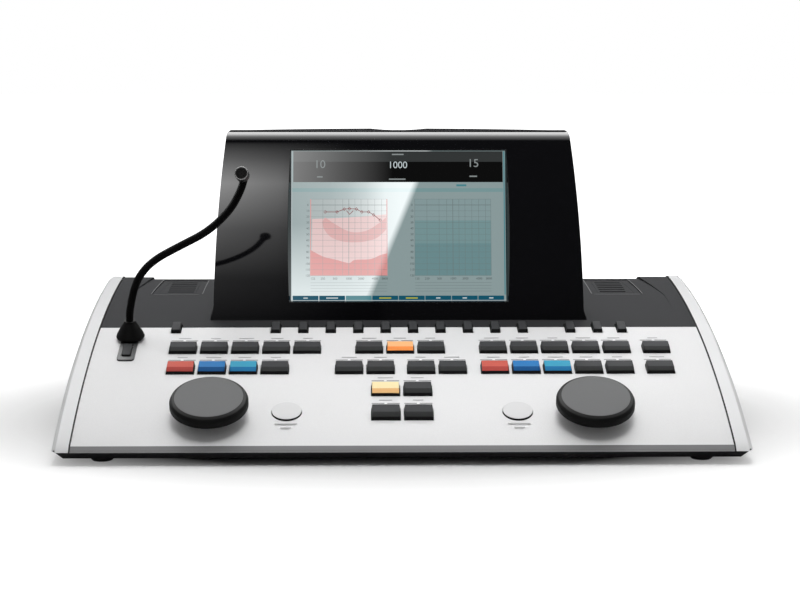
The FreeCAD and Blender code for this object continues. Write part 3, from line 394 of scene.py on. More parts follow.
def merged(node):
    """Copy of a frame node with its points merged and its flat faces joined."""
    piece = bpy.data.objects.new("soft_" + node, frame["nodes"][node].data.copy())
    bpy.context.scene.collection.objects.link(piece)
    edit(piece)
    take_all()
    bpy.ops.mesh.remove_doubles(threshold=SAME_POINT)
    bpy.ops.mesh.dissolve_limited(angle_limit=FLAT)
    done()
    return piece


def stands_for(piece, node):
    finish(piece, piece.name, body_of(node), replaces=(node,))
    weighted(piece)
    return piece


def softened(node, width):
    """Copy a frame node and round its edges."""
    piece = merged(node)
    bevel(piece, width)
    return stands_for(piece, node)


# %% Softened mouldings
SOFT = {"speaker_grilles": 0.2, "jack_sockets": 0.3, "power_inlet": 0.4, "connector_panel": 0.2}
soft = {node: softened(node, width) for node, width in SOFT.items()}

# %% [markdown]
# The panel and both end caps hang a little lower along the front, in a smooth curve, and the
# tray below them is a little thinner. Each cap is also cut lengthwise beside its seam, so
# that the narrow strip next to the gap can be painted black as shade.

# %% Front lip
LIP_DROP, DROP_FROM, DROP_TO = 1.3, -118.0, -178.0
PANEL_ROUND, CHEEK_ROUND, TRAY_ROUND = 0.25, 0.5, 0.6
TRAY_RAISE, TRAY_LOW = 0.8, 4.5
SEAM_WIDTH = 0.8


def lowered(piece):
    """Let the front edge of a moulding hang a little lower, in a smooth curve."""
    for vert in piece.data.vertices:
        share = (DROP_FROM * MM - vert.co.y) / ((DROP_FROM - DROP_TO) * MM)
        vert.co.z -= LIP_DROP * MM * max(0.0, min(1.0, share)) ** 2
    return piece


panel = lowered(merged("front_panel"))
bevel(panel, PANEL_ROUND)
soft["front_panel"] = stands_for(panel, "front_panel")
for node in ("left_cheek", "right_cheek"):
    cheek = lowered(merged(node))
    inner = min(abs(vert.co.x) for vert in cheek.data.vertices) + SEAM_WIDTH * MM
    side = -1.0 if node.startswith("left") else 1.0
    edit(cheek)
    take_all()
    bpy.ops.mesh.bisect(plane_co=(side * inner, 0, 0), plane_no=(1, 0, 0))
    done()
    bevel(cheek, CHEEK_ROUND)
    soft[node] = stands_for(cheek, node)
tray = merged("base_tray")
for vert in tray.data.vertices:
    if vert.co.z < TRAY_LOW * MM:
        vert.co.z += TRAY_RAISE * MM
bevel(tray, TRAY_ROUND)
soft["base_tray"] = stands_for(tray, "base_tray")

# %% [markdown]
# The deck's pocket has room beside the folding lid. Its side walls are moved inward here, so
# that only a fine gap shows beside the lid's foot.

# %% Deck
POCKET_X, POCKET_MOVE = 159.7, 1.7
DECK_ROUND = 0.5
deck = merged("rear_deck")
walls = [vert for vert in deck.data.vertices if abs(abs(vert.co.x) - POCKET_X * MM) < NEAR * MM]
for vert in walls:
    vert.co.x -= math.copysign(POCKET_MOVE * MM, vert.co.x)
bevel(deck, DECK_ROUND)
soft["rear_deck"] = stands_for(deck, "rear_deck")
print("pocket walls moved:", len(walls), "points")
for node, piece in soft.items():
    print(piece.name, len(piece.data.polygons), "faces")

# %% [markdown]
# A fine pale line runs round each speaker recess: a painted highlight where the recess's edge
# catches the light. It is a thin frame, made by an inset in a plane, laid on the deck by a
# shrinkwrap modifier and given its thickness by a solidify one.

# %% Recess highlight lines
HIGHLIGHT_W, HIGHLIGHT_ROUND, HIGHLIGHT_THICK, HIGHLIGHT_LIFT = 0.7, 4.5, 0.12, 0.06
HIGHLIGHT_Y = (81.4, 145.6)
HIGHLIGHT_X = ((170.2, 215.8), (169.2, 210.8))     # inner and outer edge, front and rear
HIGHLIGHT_CUTS, HIGHLIGHT_START = 12, 120.0              # height from which a line drops to the deck
for side, name in ((-1, "left"), (1, "right")):
    deselect()
    bpy.ops.mesh.primitive_plane_add(size=1.0)
    highlight = bpy.context.object
    for vert in highlight.data.vertices:
        row = 1 if vert.co.y > 0 else 0
        column = 1 if vert.co.x > 0 else 0
        vert.co = (side * HIGHLIGHT_X[row][column] * MM, HIGHLIGHT_Y[row] * MM, HIGHLIGHT_START * MM)
    edit(highlight)
    face_outward()
    bpy.ops.mesh.bevel(offset=HIGHLIGHT_ROUND * MM, segments=5, affect="VERTICES")
    bpy.ops.mesh.inset(thickness=HIGHLIGHT_W * MM)
    bpy.ops.mesh.delete(type="FACE")
    take_all()
    bpy.ops.mesh.subdivide(number_cuts=HIGHLIGHT_CUTS)
    done()
    drop = highlight.modifiers.new("drop", "SHRINKWRAP")
    drop.wrap_method = "PROJECT"
    drop.use_project_z = True
    drop.use_negative_direction = True
    drop.use_positive_direction = True
    drop.target = deck
    drop.offset = HIGHLIGHT_LIFT * MM
    thick = highlight.modifiers.new("thick", "SOLIDIFY")
    thick.thickness = HIGHLIGHT_THICK * MM
    apply_modifiers(highlight)
    edit(highlight)
    face_outward()
    done()
    finish(highlight, "recess_line_" + name, "console", RECESS_HIGHLIGHT)
    heights = [vert.co.z / MM for vert in highlight.data.vertices]
    print("recess line at z %.1f to %.1f mm" % (min(heights), max(heights)))

# %% [markdown]
# The plate under the microphone is a little slimmer than its seat, so that a dark seam
# frames it: both of its long sides are pushed inward.

# %% Microphone plate
PLATE_SLIM, PLATE_INNER, PLATE_ROUND = 0.9, 5.0, 0.35
plate = merged("mic_plate")
across = [vert.co.x for vert in plate.data.vertices]
middle = (min(across) + max(across)) / 2.0
for vert in plate.data.vertices:
    if abs(vert.co.x - middle) > PLATE_INNER * MM:
        vert.co.x -= math.copysign(PLATE_SLIM * MM, vert.co.x - middle)
bevel(plate, PLATE_ROUND)
stands_for(plate, "mic_plate")

# %% [markdown]
# ## Dark seams
# Between the end caps and the skin runs a narrow gap that nothing lights. The faces that
# look into it, and a narrow strip of each cap's top beside it, are painted black as shade,
# so it reads as one fine line from the front lip to the back.

# %% Seams
SKIN_EDGE, SKIN_OUT = 0.4, 0.3     # reach of the black on the skin, and how far its faces look out
for node, piece in soft.items():
    if node in ("left_cheek", "right_cheek", "front_panel", "rear_deck"):
        inward = -1.0 if "cheek" in node else 1.0
        edge = [abs(vert.co.x) for vert in piece.data.vertices]
        edge = min(edge) if "cheek" in node else max(edge)
        # faces in and beside the gap turn black: painted shade
        piece.data.materials.append(KEY_BASE)
        reach = (SEAM_WIDTH if "cheek" in node else SKIN_EDGE) * MM
        for face in piece.data.polygons:
            out = face.normal.x * math.copysign(inward, face.center.x)
            if abs(abs(face.center.x) - edge) < reach and ("cheek" in node or out > SKIN_OUT):
                face.material_index = 1

# %% [markdown]
# ## The front facet of the key panel
# Under the lacquered panel its front edge folds down in a narrow facet that stays in shade.
# Its grey is much darker than the lacquer, which adds painted shade. The facet's faces are
# found by their place and their normal, which points forward and only a little up, and get
# a material of their own.

# %% Front facet
FACET_TOP, FACET_DEEP, FACET_FORWARD = 17.0, 5.5, 0.55
panel = soft["front_panel"]
panel.data.materials.append(FACET)
for face in panel.data.polygons:
    if (face.center.z < FACET_TOP * MM and face.center.y < FRONT + FACET_DEEP * MM
            and face.normal.y < -FACET_FORWARD):
        face.material_index = 2

# %% [markdown]
# ## Places on the panel
# Every key and dial slides or turns along the panel's normal, and its joint knows that
# direction. Turned back by the slope, a node's own points give its middle and its height,
# so a piece that is modelled flat on the ground can be carried straight to its seat.


# %% Seats
def joint_of(body):
    return next(j for j in frame["joints"] if j["child"] == body)


def seat(node):
    """Matrix from a flat modelling frame to the node's place; z = 0 is the node's top."""
    up = Vector(joint_of(node)["axis"]).normalized()
    if up.z < 0:
        up = -up
    slope = math.atan2(-up.y, up.z)
    back = Matrix.Rotation(-slope, 4, "X")
    points = [back @ v.co for v in frame["nodes"][node].data.vertices]
    low = Vector(min(p[i] for p in points) for i in range(3))
    high = Vector(max(p[i] for p in points) for i in range(3))
    middle = Vector(((low.x + high.x) / 2, (low.y + high.y) / 2, high.z))
    return Matrix.Rotation(slope, 4, "X") @ Matrix.Translation(middle)


def twin(model, matrix):
    """Copy a model with its own mesh and carry it to a place."""
    piece = model.copy()
    piece.data = model.data.copy()
    bpy.context.scene.collection.objects.link(piece)
    piece.data.transform(matrix)
    return piece


def retire(*models):
    for model in models:
        bpy.data.objects.remove(model, do_unlink=True)


def blacken(piece, place, level, dark=KEY_BASE):
    """Give a dark material to every face that turns away from the piece's upward direction; on the
    dials and tone switches it is painted shade.
    """
    piece.data.materials.append(dark)
    up = (place.to_3x3() @ Vector((0, 0, 1))).normalized()
    for face in piece.data.polygons:
        if face.normal.dot(up) < level:
            face.material_index = 1


# %% [markdown]
# ## The keys
# A key cap is a small roof: a long rear facet that lies almost level with the panel and a
# front facet that falls towards the fingers, with a crease between them. It is a block cut
# across at the crease, whose front and rear edges are then pushed down. The same block
# serves for all thirty-two keys, so it is modelled once and copied.


# %% Key cap
KEY = (22.0, 14.6)
KEY_TOP = (2.6, 4.1, 4.0)      # height at the front, the crease and the rear
KEY_CREASE = -2.4
KEY_LEAN = 0.6                 # each flank leans in by this much above the panel
KEY_SINK = 0.5                 # crease below the highest point of the frame's key
KEY_ROUND = 0.36
KEY_SKIN = 1.0                 # points above this height belong to the roof
SUNK = 1.6                     # how far keys reach below the panel's skin


def block(name, x, y, z0, z1):
    """Upright block of this size in the middle of the modelling frame, in millimetres."""
    deselect()
    bpy.ops.mesh.primitive_cube_add(size=1.0)
    piece = bpy.context.object
    piece.name = name
    piece.data.transform(Matrix.Translation((0, 0, (z0 + z1) / 2 * MM))
                         @ Matrix.Diagonal((x * MM, y * MM, (z1 - z0) * MM, 1)))
    return piece


def above_skin(co):
    return co.z > KEY_SKIN * MM


key_model = block("key_model", KEY[0], KEY[1], -SUNK, KEY_TOP[1])
edit(key_model)
for point, across in (((0, KEY_CREASE * MM, 0), (0, 1, 0)), ((0, 0, 0), (0, 0, 1))):
    take_all()
    bpy.ops.mesh.bisect(plane_co=point, plane_no=across)
choose(key_model, above_skin)
bpy.ops.transform.resize(value=(1.0 - 2.0 * KEY_LEAN / KEY[0], 1, 1), center_override=(0, 0, 0))
for edge_y, height in ((-KEY[1] / 2, KEY_TOP[0]), (KEY[1] / 2, KEY_TOP[2])):
    choose(key_model, lambda co: above_skin(co) and abs(co.y - edge_y * MM) < NEAR * MM)
    bpy.ops.transform.translate(value=(0, 0, (height - KEY_TOP[1]) * MM))
done()
for vert in key_model.data.vertices:
    vert.co.z -= KEY_TOP[1] * MM
bevel(key_model, KEY_ROUND, 3, 8.0)
print("key cap", len(key_model.data.polygons), "faces")

# %% [markdown]
# A key has its colour only on top, where a tinted cap is set into a black body. So the rear
# top facet keeps the colour, the front facet takes a darker copy of it as painted shade, and
# the flanks and the front face take the dark base.

# %% Key colours
KEY_FLANK, KEY_FALL = 0.7, 0.15    # a flank faces up by less, the front facet ahead by more
KEYS = sorted(node for node in frame["nodes"] if node.startswith("key_r"))
for node in KEYS:
    place = seat(node)
    cap = twin(key_model, place @ Matrix.Translation((0, 0, -KEY_SINK * MM)))
    upper, lower = KEY_FINISH[slot_of(node)]
    finish(cap, "cap_" + node, node, upper, (node,))
    cap.data.materials.append(KEY_BASE)
    cap.data.materials.append(lower)
    up, ahead = place.to_3x3() @ Vector((0, 0, 1)), place.to_3x3() @ Vector((0, -1, 0))
    for face in cap.data.polygons:
        if face.normal.dot(up) < KEY_FLANK:
            face.material_index = 1
        elif face.normal.dot(ahead) > KEY_FALL:
            face.material_index = 2
print(len(KEYS), "keys placed")

# %% [markdown]
# ## Function keys
# The fourteen small keys are plain upright tabs with a soft rim. Their tops are the dark
# grey of the large keys, and their flanks are black.

# %% Function keys
FN = (7.2, 18.0, 3.2)
FN_ROUND, FN_FLANK = 0.9, 0.9
fn_model = block("fn_model", FN[0], FN[1], -FN[2] - SUNK, 0.0)
bevel(fn_model, FN_ROUND, 3, 40.0)


def loose_parts(node):
    """Points of each separate solid of a node, by its joined triangles."""
    mesh = bmesh.new()
    mesh.from_mesh(frame["nodes"][node].data)
    bmesh.ops.remove_doubles(mesh, verts=mesh.verts, dist=SAME_POINT)
    left, groups = set(mesh.verts), []
    while left:
        stack, group = [left.pop()], []
        while stack:
            vert = stack.pop()
            group.append(vert.co.copy())
            for edge in vert.link_edges:
                other = edge.other_vert(vert)
                if other in left:
                    left.remove(other)
                    stack.append(other)
        groups.append(group)
    mesh.free()
    return groups


for group in ("left", "centre", "right"):
    node = "fn_keys_" + group
    place = seat(node)
    middles = sorted((min(p.x for p in part) + max(p.x for p in part)) / 2
                     for part in loose_parts(node))
    for n, x in enumerate(middles):
        tab = twin(fn_model, Matrix.Translation((x - place.translation.x, 0, 0)) @ place)
        finish(tab, "%s_tab_%02d" % (node, n + 1), node, KEY_DARK, (node,))
        blacken(tab, place, FN_FLANK)
retire(key_model, fn_model)

# %% [markdown]
# ## Dials
# Each dial is a thick wheel with a broad soft shoulder, held clear of the panel by a slim
# hub. Its half outline is spun about its axis. The wheel is dark soft-touch rubber: its top
# keeps a dark grey, and its side and hub are painted almost black as shade.


# %% Dials
def spun(name, outline, steps=96):
    """Spin a half outline of (radius, height) points about the upright axis."""
    piece, mesh = bare(name)
    verts = [mesh.verts.new((r * MM, 0, z * MM)) for r, z in outline]
    for a, b in zip(verts, verts[1:]):
        mesh.edges.new((a, b))
    bmesh.update_edit_mesh(piece.data)
    take_all()
    bpy.ops.mesh.spin(steps=steps, angle=2 * math.pi, center=(0, 0, 0), axis=(0, 0, 1))
    take_all()
    bpy.ops.mesh.remove_doubles(threshold=SAME_POINT)
    face_outward()
    done()
    return piece


def rounded(outline, radius, steps=6):
    """Round the corners of an outline; radius per inner corner, in millimetres."""
    made = [outline[0]]
    for before, corner, after, r in zip(outline, outline[1:], outline[2:], radius):
        if r == 0:
            made.append(corner)
            continue
        a, b, c = Vector(before), Vector(corner), Vector(after)
        back, ahead = (a - b).normalized(), (c - b).normalized()
        half = back.angle(ahead) / 2.0
        reach = r / math.tan(half)
        p, q = b + back * reach, b + ahead * reach
        hub = b + (back + ahead).normalized() * (r / math.sin(half))
        for n in range(steps + 1):
            arm = (p - hub).lerp(q - hub, n / steps).normalized() * r
            made.append(tuple(hub + arm))
    return made + [outline[-1]]


DIAL_R, DIAL_HUB, DIAL_FLANK = 29.8, 12.0, 0.93
dial_outline = rounded(
    [(0, 1.5), (25.6, 1.5), (28.5, 0.2), (DIAL_R, -2.3), (DIAL_R, -7.3), (DIAL_HUB, -7.3),
     (DIAL_HUB, -16.0), (0, -16.0)],
    [3.0, 2.0, 2.0, 0.8, 0.6, 0.3], 6)
dial_model = spun("dial_model", dial_outline)
for side in ("left", "right"):
    node = "dial_" + side
    place = seat(node)
    drum = finish(twin(dial_model, place), "drum_" + side, node, DIAL, (node,))
    blacken(drum, place, DIAL_FLANK, PAINTED_SIDE_SHADE)
retire(dial_model)

# %% [markdown]
# ## Tone switches
# The two round switches are flat silver buttons with a fine bevel that draws a bright ring.
# Their sides are painted black as the shade of the gap round them, so they seem to float
# in the panel.

# %% Tone switches
TONE_R, TONE_THICK, TONE_FLANK = 11.4, 3.6, 0.3
tone_outline = rounded([(0, 0), (TONE_R, 0), (TONE_R, -TONE_THICK), (0, -TONE_THICK)], [0.45, 0.2], 4)
tone_model = spun("tone_model", tone_outline)
for side in ("left", "right"):
    node = "tone_switch_" + side
    place = seat(node)
    button = finish(twin(tone_model, place), "button_tone_" + side, node, TONE, (node,))
    # the button's sides take painted shade
    blacken(button, place, TONE_FLANK, PAINTED_SIDE_SHADE)
retire(tone_model)

# %% [markdown]
# ## The display's bezel
# The bezel is one sheet of gloss black that rises from the hinge barrel, bulges gently
# towards the operator and rolls over the top. Gloss shows every facet, so it is swept again
# here in fine steps: an edge as wide as the lid is spun round the barrel, up the front and
# over the roll, and every row is then narrowed to the lid's outline.

# %% Bezel sheet
LID_R, LID_H, BULGE, ROLL = 9.5, 168.1, 6.0, 14.0
TOP_V, SPLIT_V, TURN_LOW = 8.0, 1.0, math.radians(16.0)
LOW_HALF, WAIST_HALF, MID_HALF, TOP_HALF = 157.2, 155.3, 152.4, 145.2
FOOT_U, WAIST_U, MID_U, CORNER_R = 5.0, 12.5, 82.5, 6.0
COLUMNS, SHEET_HALF, SHEET_DEEP = 24, 0.1, 20.0
LID_AXIS = Vector(JOINTS["display_fold"]["pos_m"])
LEAN = math.radians(15.0)
LID_PLACE = Matrix.Translation(LID_AXIS) @ Matrix.Rotation(math.pi / 2 - LEAN, 4, "X")


def circle_through(a, b, c):
    """Centre of the circle through three points of the lid's side view (u, v)."""
    ax, ay, bx, by, cx, cy = *a, *b, *c
    d = 2 * (ax * (by - cy) + bx * (cy - ay) + cx * (ay - by))
    a2, b2, c2 = ax * ax + ay * ay, bx * bx + by * by, cx * cx + cy * cy
    return Vector(((a2 * (by - cy) + b2 * (cy - ay) + c2 * (ay - by)) / d,
                   (a2 * (cx - bx) + b2 * (ax - cx) + c2 * (bx - ax)) / d))


low = Vector((LID_R * math.sin(TURN_LOW), LID_R * math.cos(TURN_LOW)))
turn = 2.0 * math.atan(2.0 * BULGE / (LID_H - LID_R))
high = Vector((LID_H - ROLL + ROLL * math.sin(turn), TOP_V))
mid = (low + high) / 2 + Vector((0, BULGE))
front_hub = circle_through(low, mid, high)
roll_hub = high - Vector((math.sin(turn), math.cos(turn))) * ROLL
front_turn = (low - front_hub).angle(high - front_hub)
print("front radius %.1f mm, turn %.1f degrees" % ((low - front_hub).length, math.degrees(front_turn)))


def half_width(u):
    """Half of the lid's width at height u, in millimetres."""
    if u <= FOOT_U:
        return LOW_HALF
    if u <= WAIST_U:
        return LOW_HALF - (LOW_HALF - WAIST_HALF) * (u - FOOT_U) / (WAIST_U - FOOT_U)
    waist = Vector((WAIST_U, WAIST_HALF))
    hub = circle_through(waist, (MID_U, MID_HALF), (LID_H, TOP_HALF))
    r = (waist - hub).length
    width = hub.y + math.copysign(math.sqrt(r * r - (u - hub.x) ** 2), WAIST_HALF - hub.y)
    past = u - LID_H + CORNER_R
    if past > 0.0:
        width -= CORNER_R - math.sqrt(max(0.0, CORNER_R ** 2 - past ** 2))
    return width


bezel, mesh = bare("bezel")
row = [mesh.verts.new(((n / COLUMNS * 2 - 1) * SHEET_HALF, -LID_R * MM, 0)) for n in range(COLUMNS + 1)]
for a, b in zip(row, row[1:]):
    mesh.edges.new((a, b))
bmesh.update_edit_mesh(bezel.data)
take_all()
for hub, angle, steps in ((Vector((0, 0)), math.pi / 2 + TURN_LOW, 16),
                          (front_hub, front_turn, 72), (roll_hub, math.pi / 2 - turn, 20)):
    bpy.ops.mesh.spin(steps=steps, angle=angle, center=(0, hub.x * MM, hub.y * MM), axis=(1, 0, 0))
mesh = bmesh.from_edit_mesh(bezel.data)
print("sheet reaches u %.1f, v %.1f" % (max(v.co.y for v in mesh.verts) / MM,
                                        max(v.co.z for v in mesh.verts) / MM))
for vert in mesh.verts:
    vert.co.x *= half_width(vert.co.y / MM) * MM / SHEET_HALF
take_all()
bpy.ops.mesh.extrude_region_move(TRANSFORM_OT_translate={"value": (0, 0, -SHEET_DEEP * MM)})
take_all()
bpy.ops.mesh.bisect(plane_co=(0, 0, SPLIT_V * MM), plane_no=(0, 0, 1), clear_inner=True, use_fill=True)
face_outward()
done()

# %% [markdown]
# The picture is framed by an opening whose four walls slope outward. A block is tapered to
# that slope and cut away with a boolean modifier, and the fresh rims get a small radius, so
# that they draw the fine light line that polished plastic has.

# %% Bezel opening
SCREEN = (181.0, 128.0)
SCREEN_LOW, SCREEN_V, FLARE = 20.5, 7.3, math.tan(math.radians(20.0))
OPENING_DEEP, LCD_MARGIN, LCD_BACK, RIM_ROUND = 16.0, 16.6, -2.0, 0.7
SCREEN_MIDDLE = (SCREEN_LOW + SCREEN[1] / 2) * MM


def cut(piece, cutter):
    made = piece.modifiers.new("cut", "BOOLEAN")
    made.operation = "DIFFERENCE"
    made.solver = "EXACT"
    made.object = cutter
    apply_modifiers(piece)
    retire(cutter)


def screen_block(name, margin, z0, z1):
    """Block over the picture, wider by the margin, from z0 to z1 above the hinge plane."""
    made = block(name, SCREEN[0] + margin, SCREEN[1] + margin, z0, z1)
    made.data.transform(Matrix.Translation((0, SCREEN_MIDDLE, 0)))
    return made


funnel = screen_block("funnel", 0.0, SCREEN_V, SCREEN_V + OPENING_DEEP)
grow = OPENING_DEEP * FLARE * MM
for vert in funnel.data.vertices:
    if vert.co.z > (SCREEN_V + OPENING_DEEP / 2) * MM:
        vert.co.x += math.copysign(grow, vert.co.x)
        vert.co.y += math.copysign(grow, vert.co.y - SCREEN_MIDDLE)
cut(bezel, funnel)
cut(bezel, screen_block("lcd_room", LCD_MARGIN, LCD_BACK, SCREEN_V))
bevel(bezel, RIM_ROUND, 3, 28.0)
bezel.data.transform(LID_PLACE)
finish(bezel, "bezel_shell", "display", GLOSS, ("display_bezel",), 25.0)
weighted(bezel)
print("bezel", len(bezel.data.polygons), "faces")

# %% [markdown]
# The rear shell is the frame's, drawn up to the height of the bezel's roll. Behind the roll
# a long low lip rises in a flat arc, with a shallow dip in its middle for a finger.

# %% Rear shell
CAD_LID_H = 165.0
LIP_HALF, LIP_RISE, LIP_END, LIP_THICK, LIP_V = 130.0, 1.8, 0.4, 4.0, -7.0
DIP_HALF, DIP_DEEP, DIP_LONG = 24.0, 1.4, 30.0
SHELL_TRIM, SHELL_TOP, SHELL_ROUND, LIP_ROUND = 0.02, 7.0, 0.8, 0.5

shell = merged("display_cover")
shell.data.transform(LID_PLACE.inverted())
edit(shell)
take_all()
bpy.ops.mesh.bisect(plane_co=(0, (CAD_LID_H - SHELL_TRIM) * MM, 0), plane_no=(0, 1, 0),
                    clear_outer=True, use_fill=True)
choose(shell, lambda co: co.y > (CAD_LID_H - SHELL_TOP) * MM)
bpy.ops.transform.translate(value=(0, (LID_H - CAD_LID_H) * MM, 0))
done()
bevel(shell, SHELL_ROUND)
shell.data.transform(LID_PLACE)
stands_for(shell, "display_cover")


def arc_radius(half, rise):
    return (half * half + rise * rise) / (2.0 * rise)


lip_r = arc_radius(LIP_HALF, LIP_RISE - LIP_END)
lip_turn = math.asin(LIP_HALF / lip_r)
deselect()
bpy.ops.mesh.primitive_plane_add(size=1.0)
lip = bpy.context.object
section = (Matrix.Translation((0, (lip_r - LIP_THICK / 2) * MM, (LIP_V + LIP_THICK / 2) * MM))
           @ Matrix.Rotation(math.pi / 2, 4, "Y")
           @ Matrix.Diagonal((LIP_THICK * MM, LIP_THICK * MM, 1, 1)))
lip.data.transform(Matrix.Rotation(lip_turn, 4, "Z") @ section)
edit(lip)
take_all()
bpy.ops.mesh.spin(steps=32, angle=2 * lip_turn, center=(0, 0, 0), axis=(0, 0, 1))
face_outward()
done()
lip.data.transform(Matrix.Translation((0, (LID_H + LIP_RISE - lip_r) * MM, 0)))
dip_r = arc_radius(DIP_HALF, DIP_DEEP)
deselect()
bpy.ops.mesh.primitive_cylinder_add(vertices=256, radius=dip_r * MM, depth=DIP_LONG * MM,
                                    location=(0, (LID_H + LIP_RISE - DIP_DEEP + dip_r) * MM, 0))
bpy.ops.object.transform_apply(location=True)
cut(lip, bpy.context.object)
bevel(lip, LIP_ROUND, 2, 40.0)
lip.data.transform(LID_PLACE)
finish(lip, "cover_lip", "display", COVER, ("display_cover",))
print("lip radius %.0f mm" % lip_r)

# %% [markdown]
# ## Talk microphone: boot, neck and capsule
# The neck is a sprung steel hose in a black sleeve, so it is ribbed all along. One rib is
# modelled, an array repeats it, and a curve modifier lays the row along the neck's line.
# The rubber boot at its foot is spun from its outline.

# %% Microphone boot
swivel = JOINTS["microphone_swivel"]
mic_up = Vector(swivel["axis"]).normalized()
mic_slope = math.atan2(-mic_up.y, mic_up.z)
mic_place = Matrix.Translation(swivel["pos_m"]) @ Matrix.Rotation(mic_slope, 4, "X")
BOOT_H, NECK_R = 17.0, 3.0
boot_outline = rounded(
    [(0, 1.7), (10.6, 1.7), (11.6, 3.2), (10.9, 5.2), (7.4, 11.7), (4.9, 15.6), (4.6, BOOT_H),
     (NECK_R, BOOT_H), (NECK_R, BOOT_H - 3), (0, BOOT_H - 3)],
    [0.4, 1.0, 4.0, 12.0, 3.0, 0.5, 0.3, 0, 0], 5)
boot = spun("boot", boot_outline, 48)
boot.data.transform(mic_place)
finish(boot, "boot_rubber_cone", "microphone", RUBBER, ("mic_boot",))

# %% Microphone neck
NECK_CLEAR = 4.0               # first bend above the boot, and the neck's start inside it
NECK_END, HEAD_JOIN = 7.0, 1.5
RIB, RIB_VALLEY, RIB_SWELL, RIB_JOIN = 1.5, 0.87, 0.17, 0.02
NECK_BENDS = ((1.7, -5.9, 8.7), (7.8, -16.4, 31.2), (22.3, -30.4, 48.7), (47.3, -48.4, 63.2),
              (69.3, -61.9, 75.2), (87.8, -70.9, 92.7), (96.5, -74.9, 108.7), (99.2, -76.2, 118.0))
HEAD_AIM = Vector((-0.05, -0.96, 0.27)).normalized()
first = mic_place @ Vector((0, 0, (BOOT_H + NECK_CLEAR) * MM))
start = mic_place @ Vector((0, 0, (BOOT_H - NECK_CLEAR) * MM))
bends = [first + Vector(bend) * MM for bend in NECK_BENDS]
head_back = bends[-1] + HEAD_AIM * NECK_END * MM
line = bpy.data.curves.new("neck_line", "CURVE")
line.dimensions = "3D"
line.resolution_u = 24
spline = line.splines.new("NURBS")
points = [start, first] + bends + [head_back, head_back + HEAD_AIM * HEAD_JOIN * MM]
spline.points.add(len(points) - 1)
for point, place in zip(spline.points, points):
    point.co = (*place, 1.0)
spline.order_u = 3
spline.use_endpoint_u = True
neck_line = bpy.data.objects.new("neck_line", line)
bpy.context.scene.collection.objects.link(neck_line)
path_mesh = neck_line.to_mesh()
ends = [[path_mesh.vertices[v].co for v in edge.vertices] for edge in path_mesh.edges]
neck_length = sum((a - b).length for a, b in ends)
neck_line.to_mesh_clear()
ribs = round(neck_length / MM / RIB)
print("neck %.0f mm, %d ribs" % (neck_length / MM, ribs))
deselect()
bpy.ops.mesh.primitive_cylinder_add(vertices=20, radius=NECK_R * MM, depth=RIB * MM,
                                    end_fill_type="NOTHING", location=(RIB / 2 * MM, 0, 0),
                                    rotation=(0, math.pi / 2, 0))
neck = bpy.context.object
bpy.ops.object.transform_apply(location=True, rotation=True, scale=True)
edit(neck)
for share in (0.25, 0.5, 0.75):
    take_all()
    bpy.ops.mesh.bisect(plane_co=(RIB * share * MM, 0, 0), plane_no=(1, 0, 0))
mesh = bmesh.from_edit_mesh(neck.data)
for vert in mesh.verts:
    share = min(1.0, max(0.0, vert.co.x / MM / RIB))
    swell = RIB_VALLEY + RIB_SWELL * math.sin(math.pi * share)
    vert.co.y *= swell
    vert.co.z *= swell
bmesh.update_edit_mesh(neck.data)
done()
array = neck.modifiers.new("ribs", "ARRAY")
array.count = ribs
array.relative_offset_displace = (1, 0, 0)
array.use_merge_vertices = True
array.merge_threshold = RIB_JOIN * MM
along = neck.modifiers.new("along", "CURVE")
along.object = neck_line
along.deform_axis = "POS_X"
apply_modifiers(neck)
retire(neck_line)
edit(neck)
bpy.ops.mesh.select_non_manifold()
bpy.ops.mesh.edge_face_add()
face_outward()
done()
finish(neck, "neck_sleeve", "microphone", NECK, ("gooseneck",), 60.0)

# %% Microphone capsule
HEAD_R, HEAD_LEN = 5.2, 13.0
FACE_DEEP = 1.2                # the front is recessed by this much behind its rim
VENT_R, VENT_RING, VENT_DEEP, VENTS = 0.55, 2.5, 1.0, 8
RIM_DEEP, RIM_WIDE = 0.4, 1.0  # the metal rim goes this far behind the face and inward
head_outline = rounded(
    [(0, 0), (3.4, 0), (HEAD_R - 0.4, 2.6), (HEAD_R, 3.2), (HEAD_R, HEAD_LEN), (HEAD_R - 0.7, HEAD_LEN),
     (HEAD_R - 0.9, HEAD_LEN - FACE_DEEP), (0, HEAD_LEN - FACE_DEEP)],
    [0.8, 0.6, 0.4, 0.3, 0.2, 0.2, 0], 4)
head = spun("head", head_outline, 48)
vents = [(VENT_RING * math.cos(2 * math.pi * n / VENTS), VENT_RING * math.sin(2 * math.pi * n / VENTS))
         for n in range(VENTS)] + [(0, 0)]
for x, y in vents:
    deselect()
    bpy.ops.mesh.primitive_cylinder_add(vertices=12, radius=VENT_R * MM, depth=2 * VENT_DEEP * MM,
                                        location=(x * MM, y * MM, (HEAD_LEN - FACE_DEEP) * MM))
    cut(head, bpy.context.object)
head_turn = HEAD_AIM.to_track_quat("Z", "Y").to_matrix().to_4x4()
head.data.transform(Matrix.Translation(head_back) @ head_turn)
finish(head, "capsule", "microphone", KEY_BASE, ("mic_head",))
head.data.materials.append(CAPSULE_RIM)
for face in head.data.polygons:
    out = (face.center - head_back).dot(HEAD_AIM) / MM
    side = ((face.center - head_back) - HEAD_AIM * out * MM).length / MM
    if out > HEAD_LEN - FACE_DEEP - RIM_DEEP and side > HEAD_R - RIM_WIDE:
        face.material_index = 1

# %% [markdown]
# ## Talk button
# In front of the boot a long button with round corners lets the tester speak to the patient.

# %% Talk button
place = seat("talk_button")
TALK, TALK_DEEP, TALK_CORNER, TALK_ROUND, TALK_FLANK = (7.0, 20.5), 5.0, 1.8, 0.6, 0.9


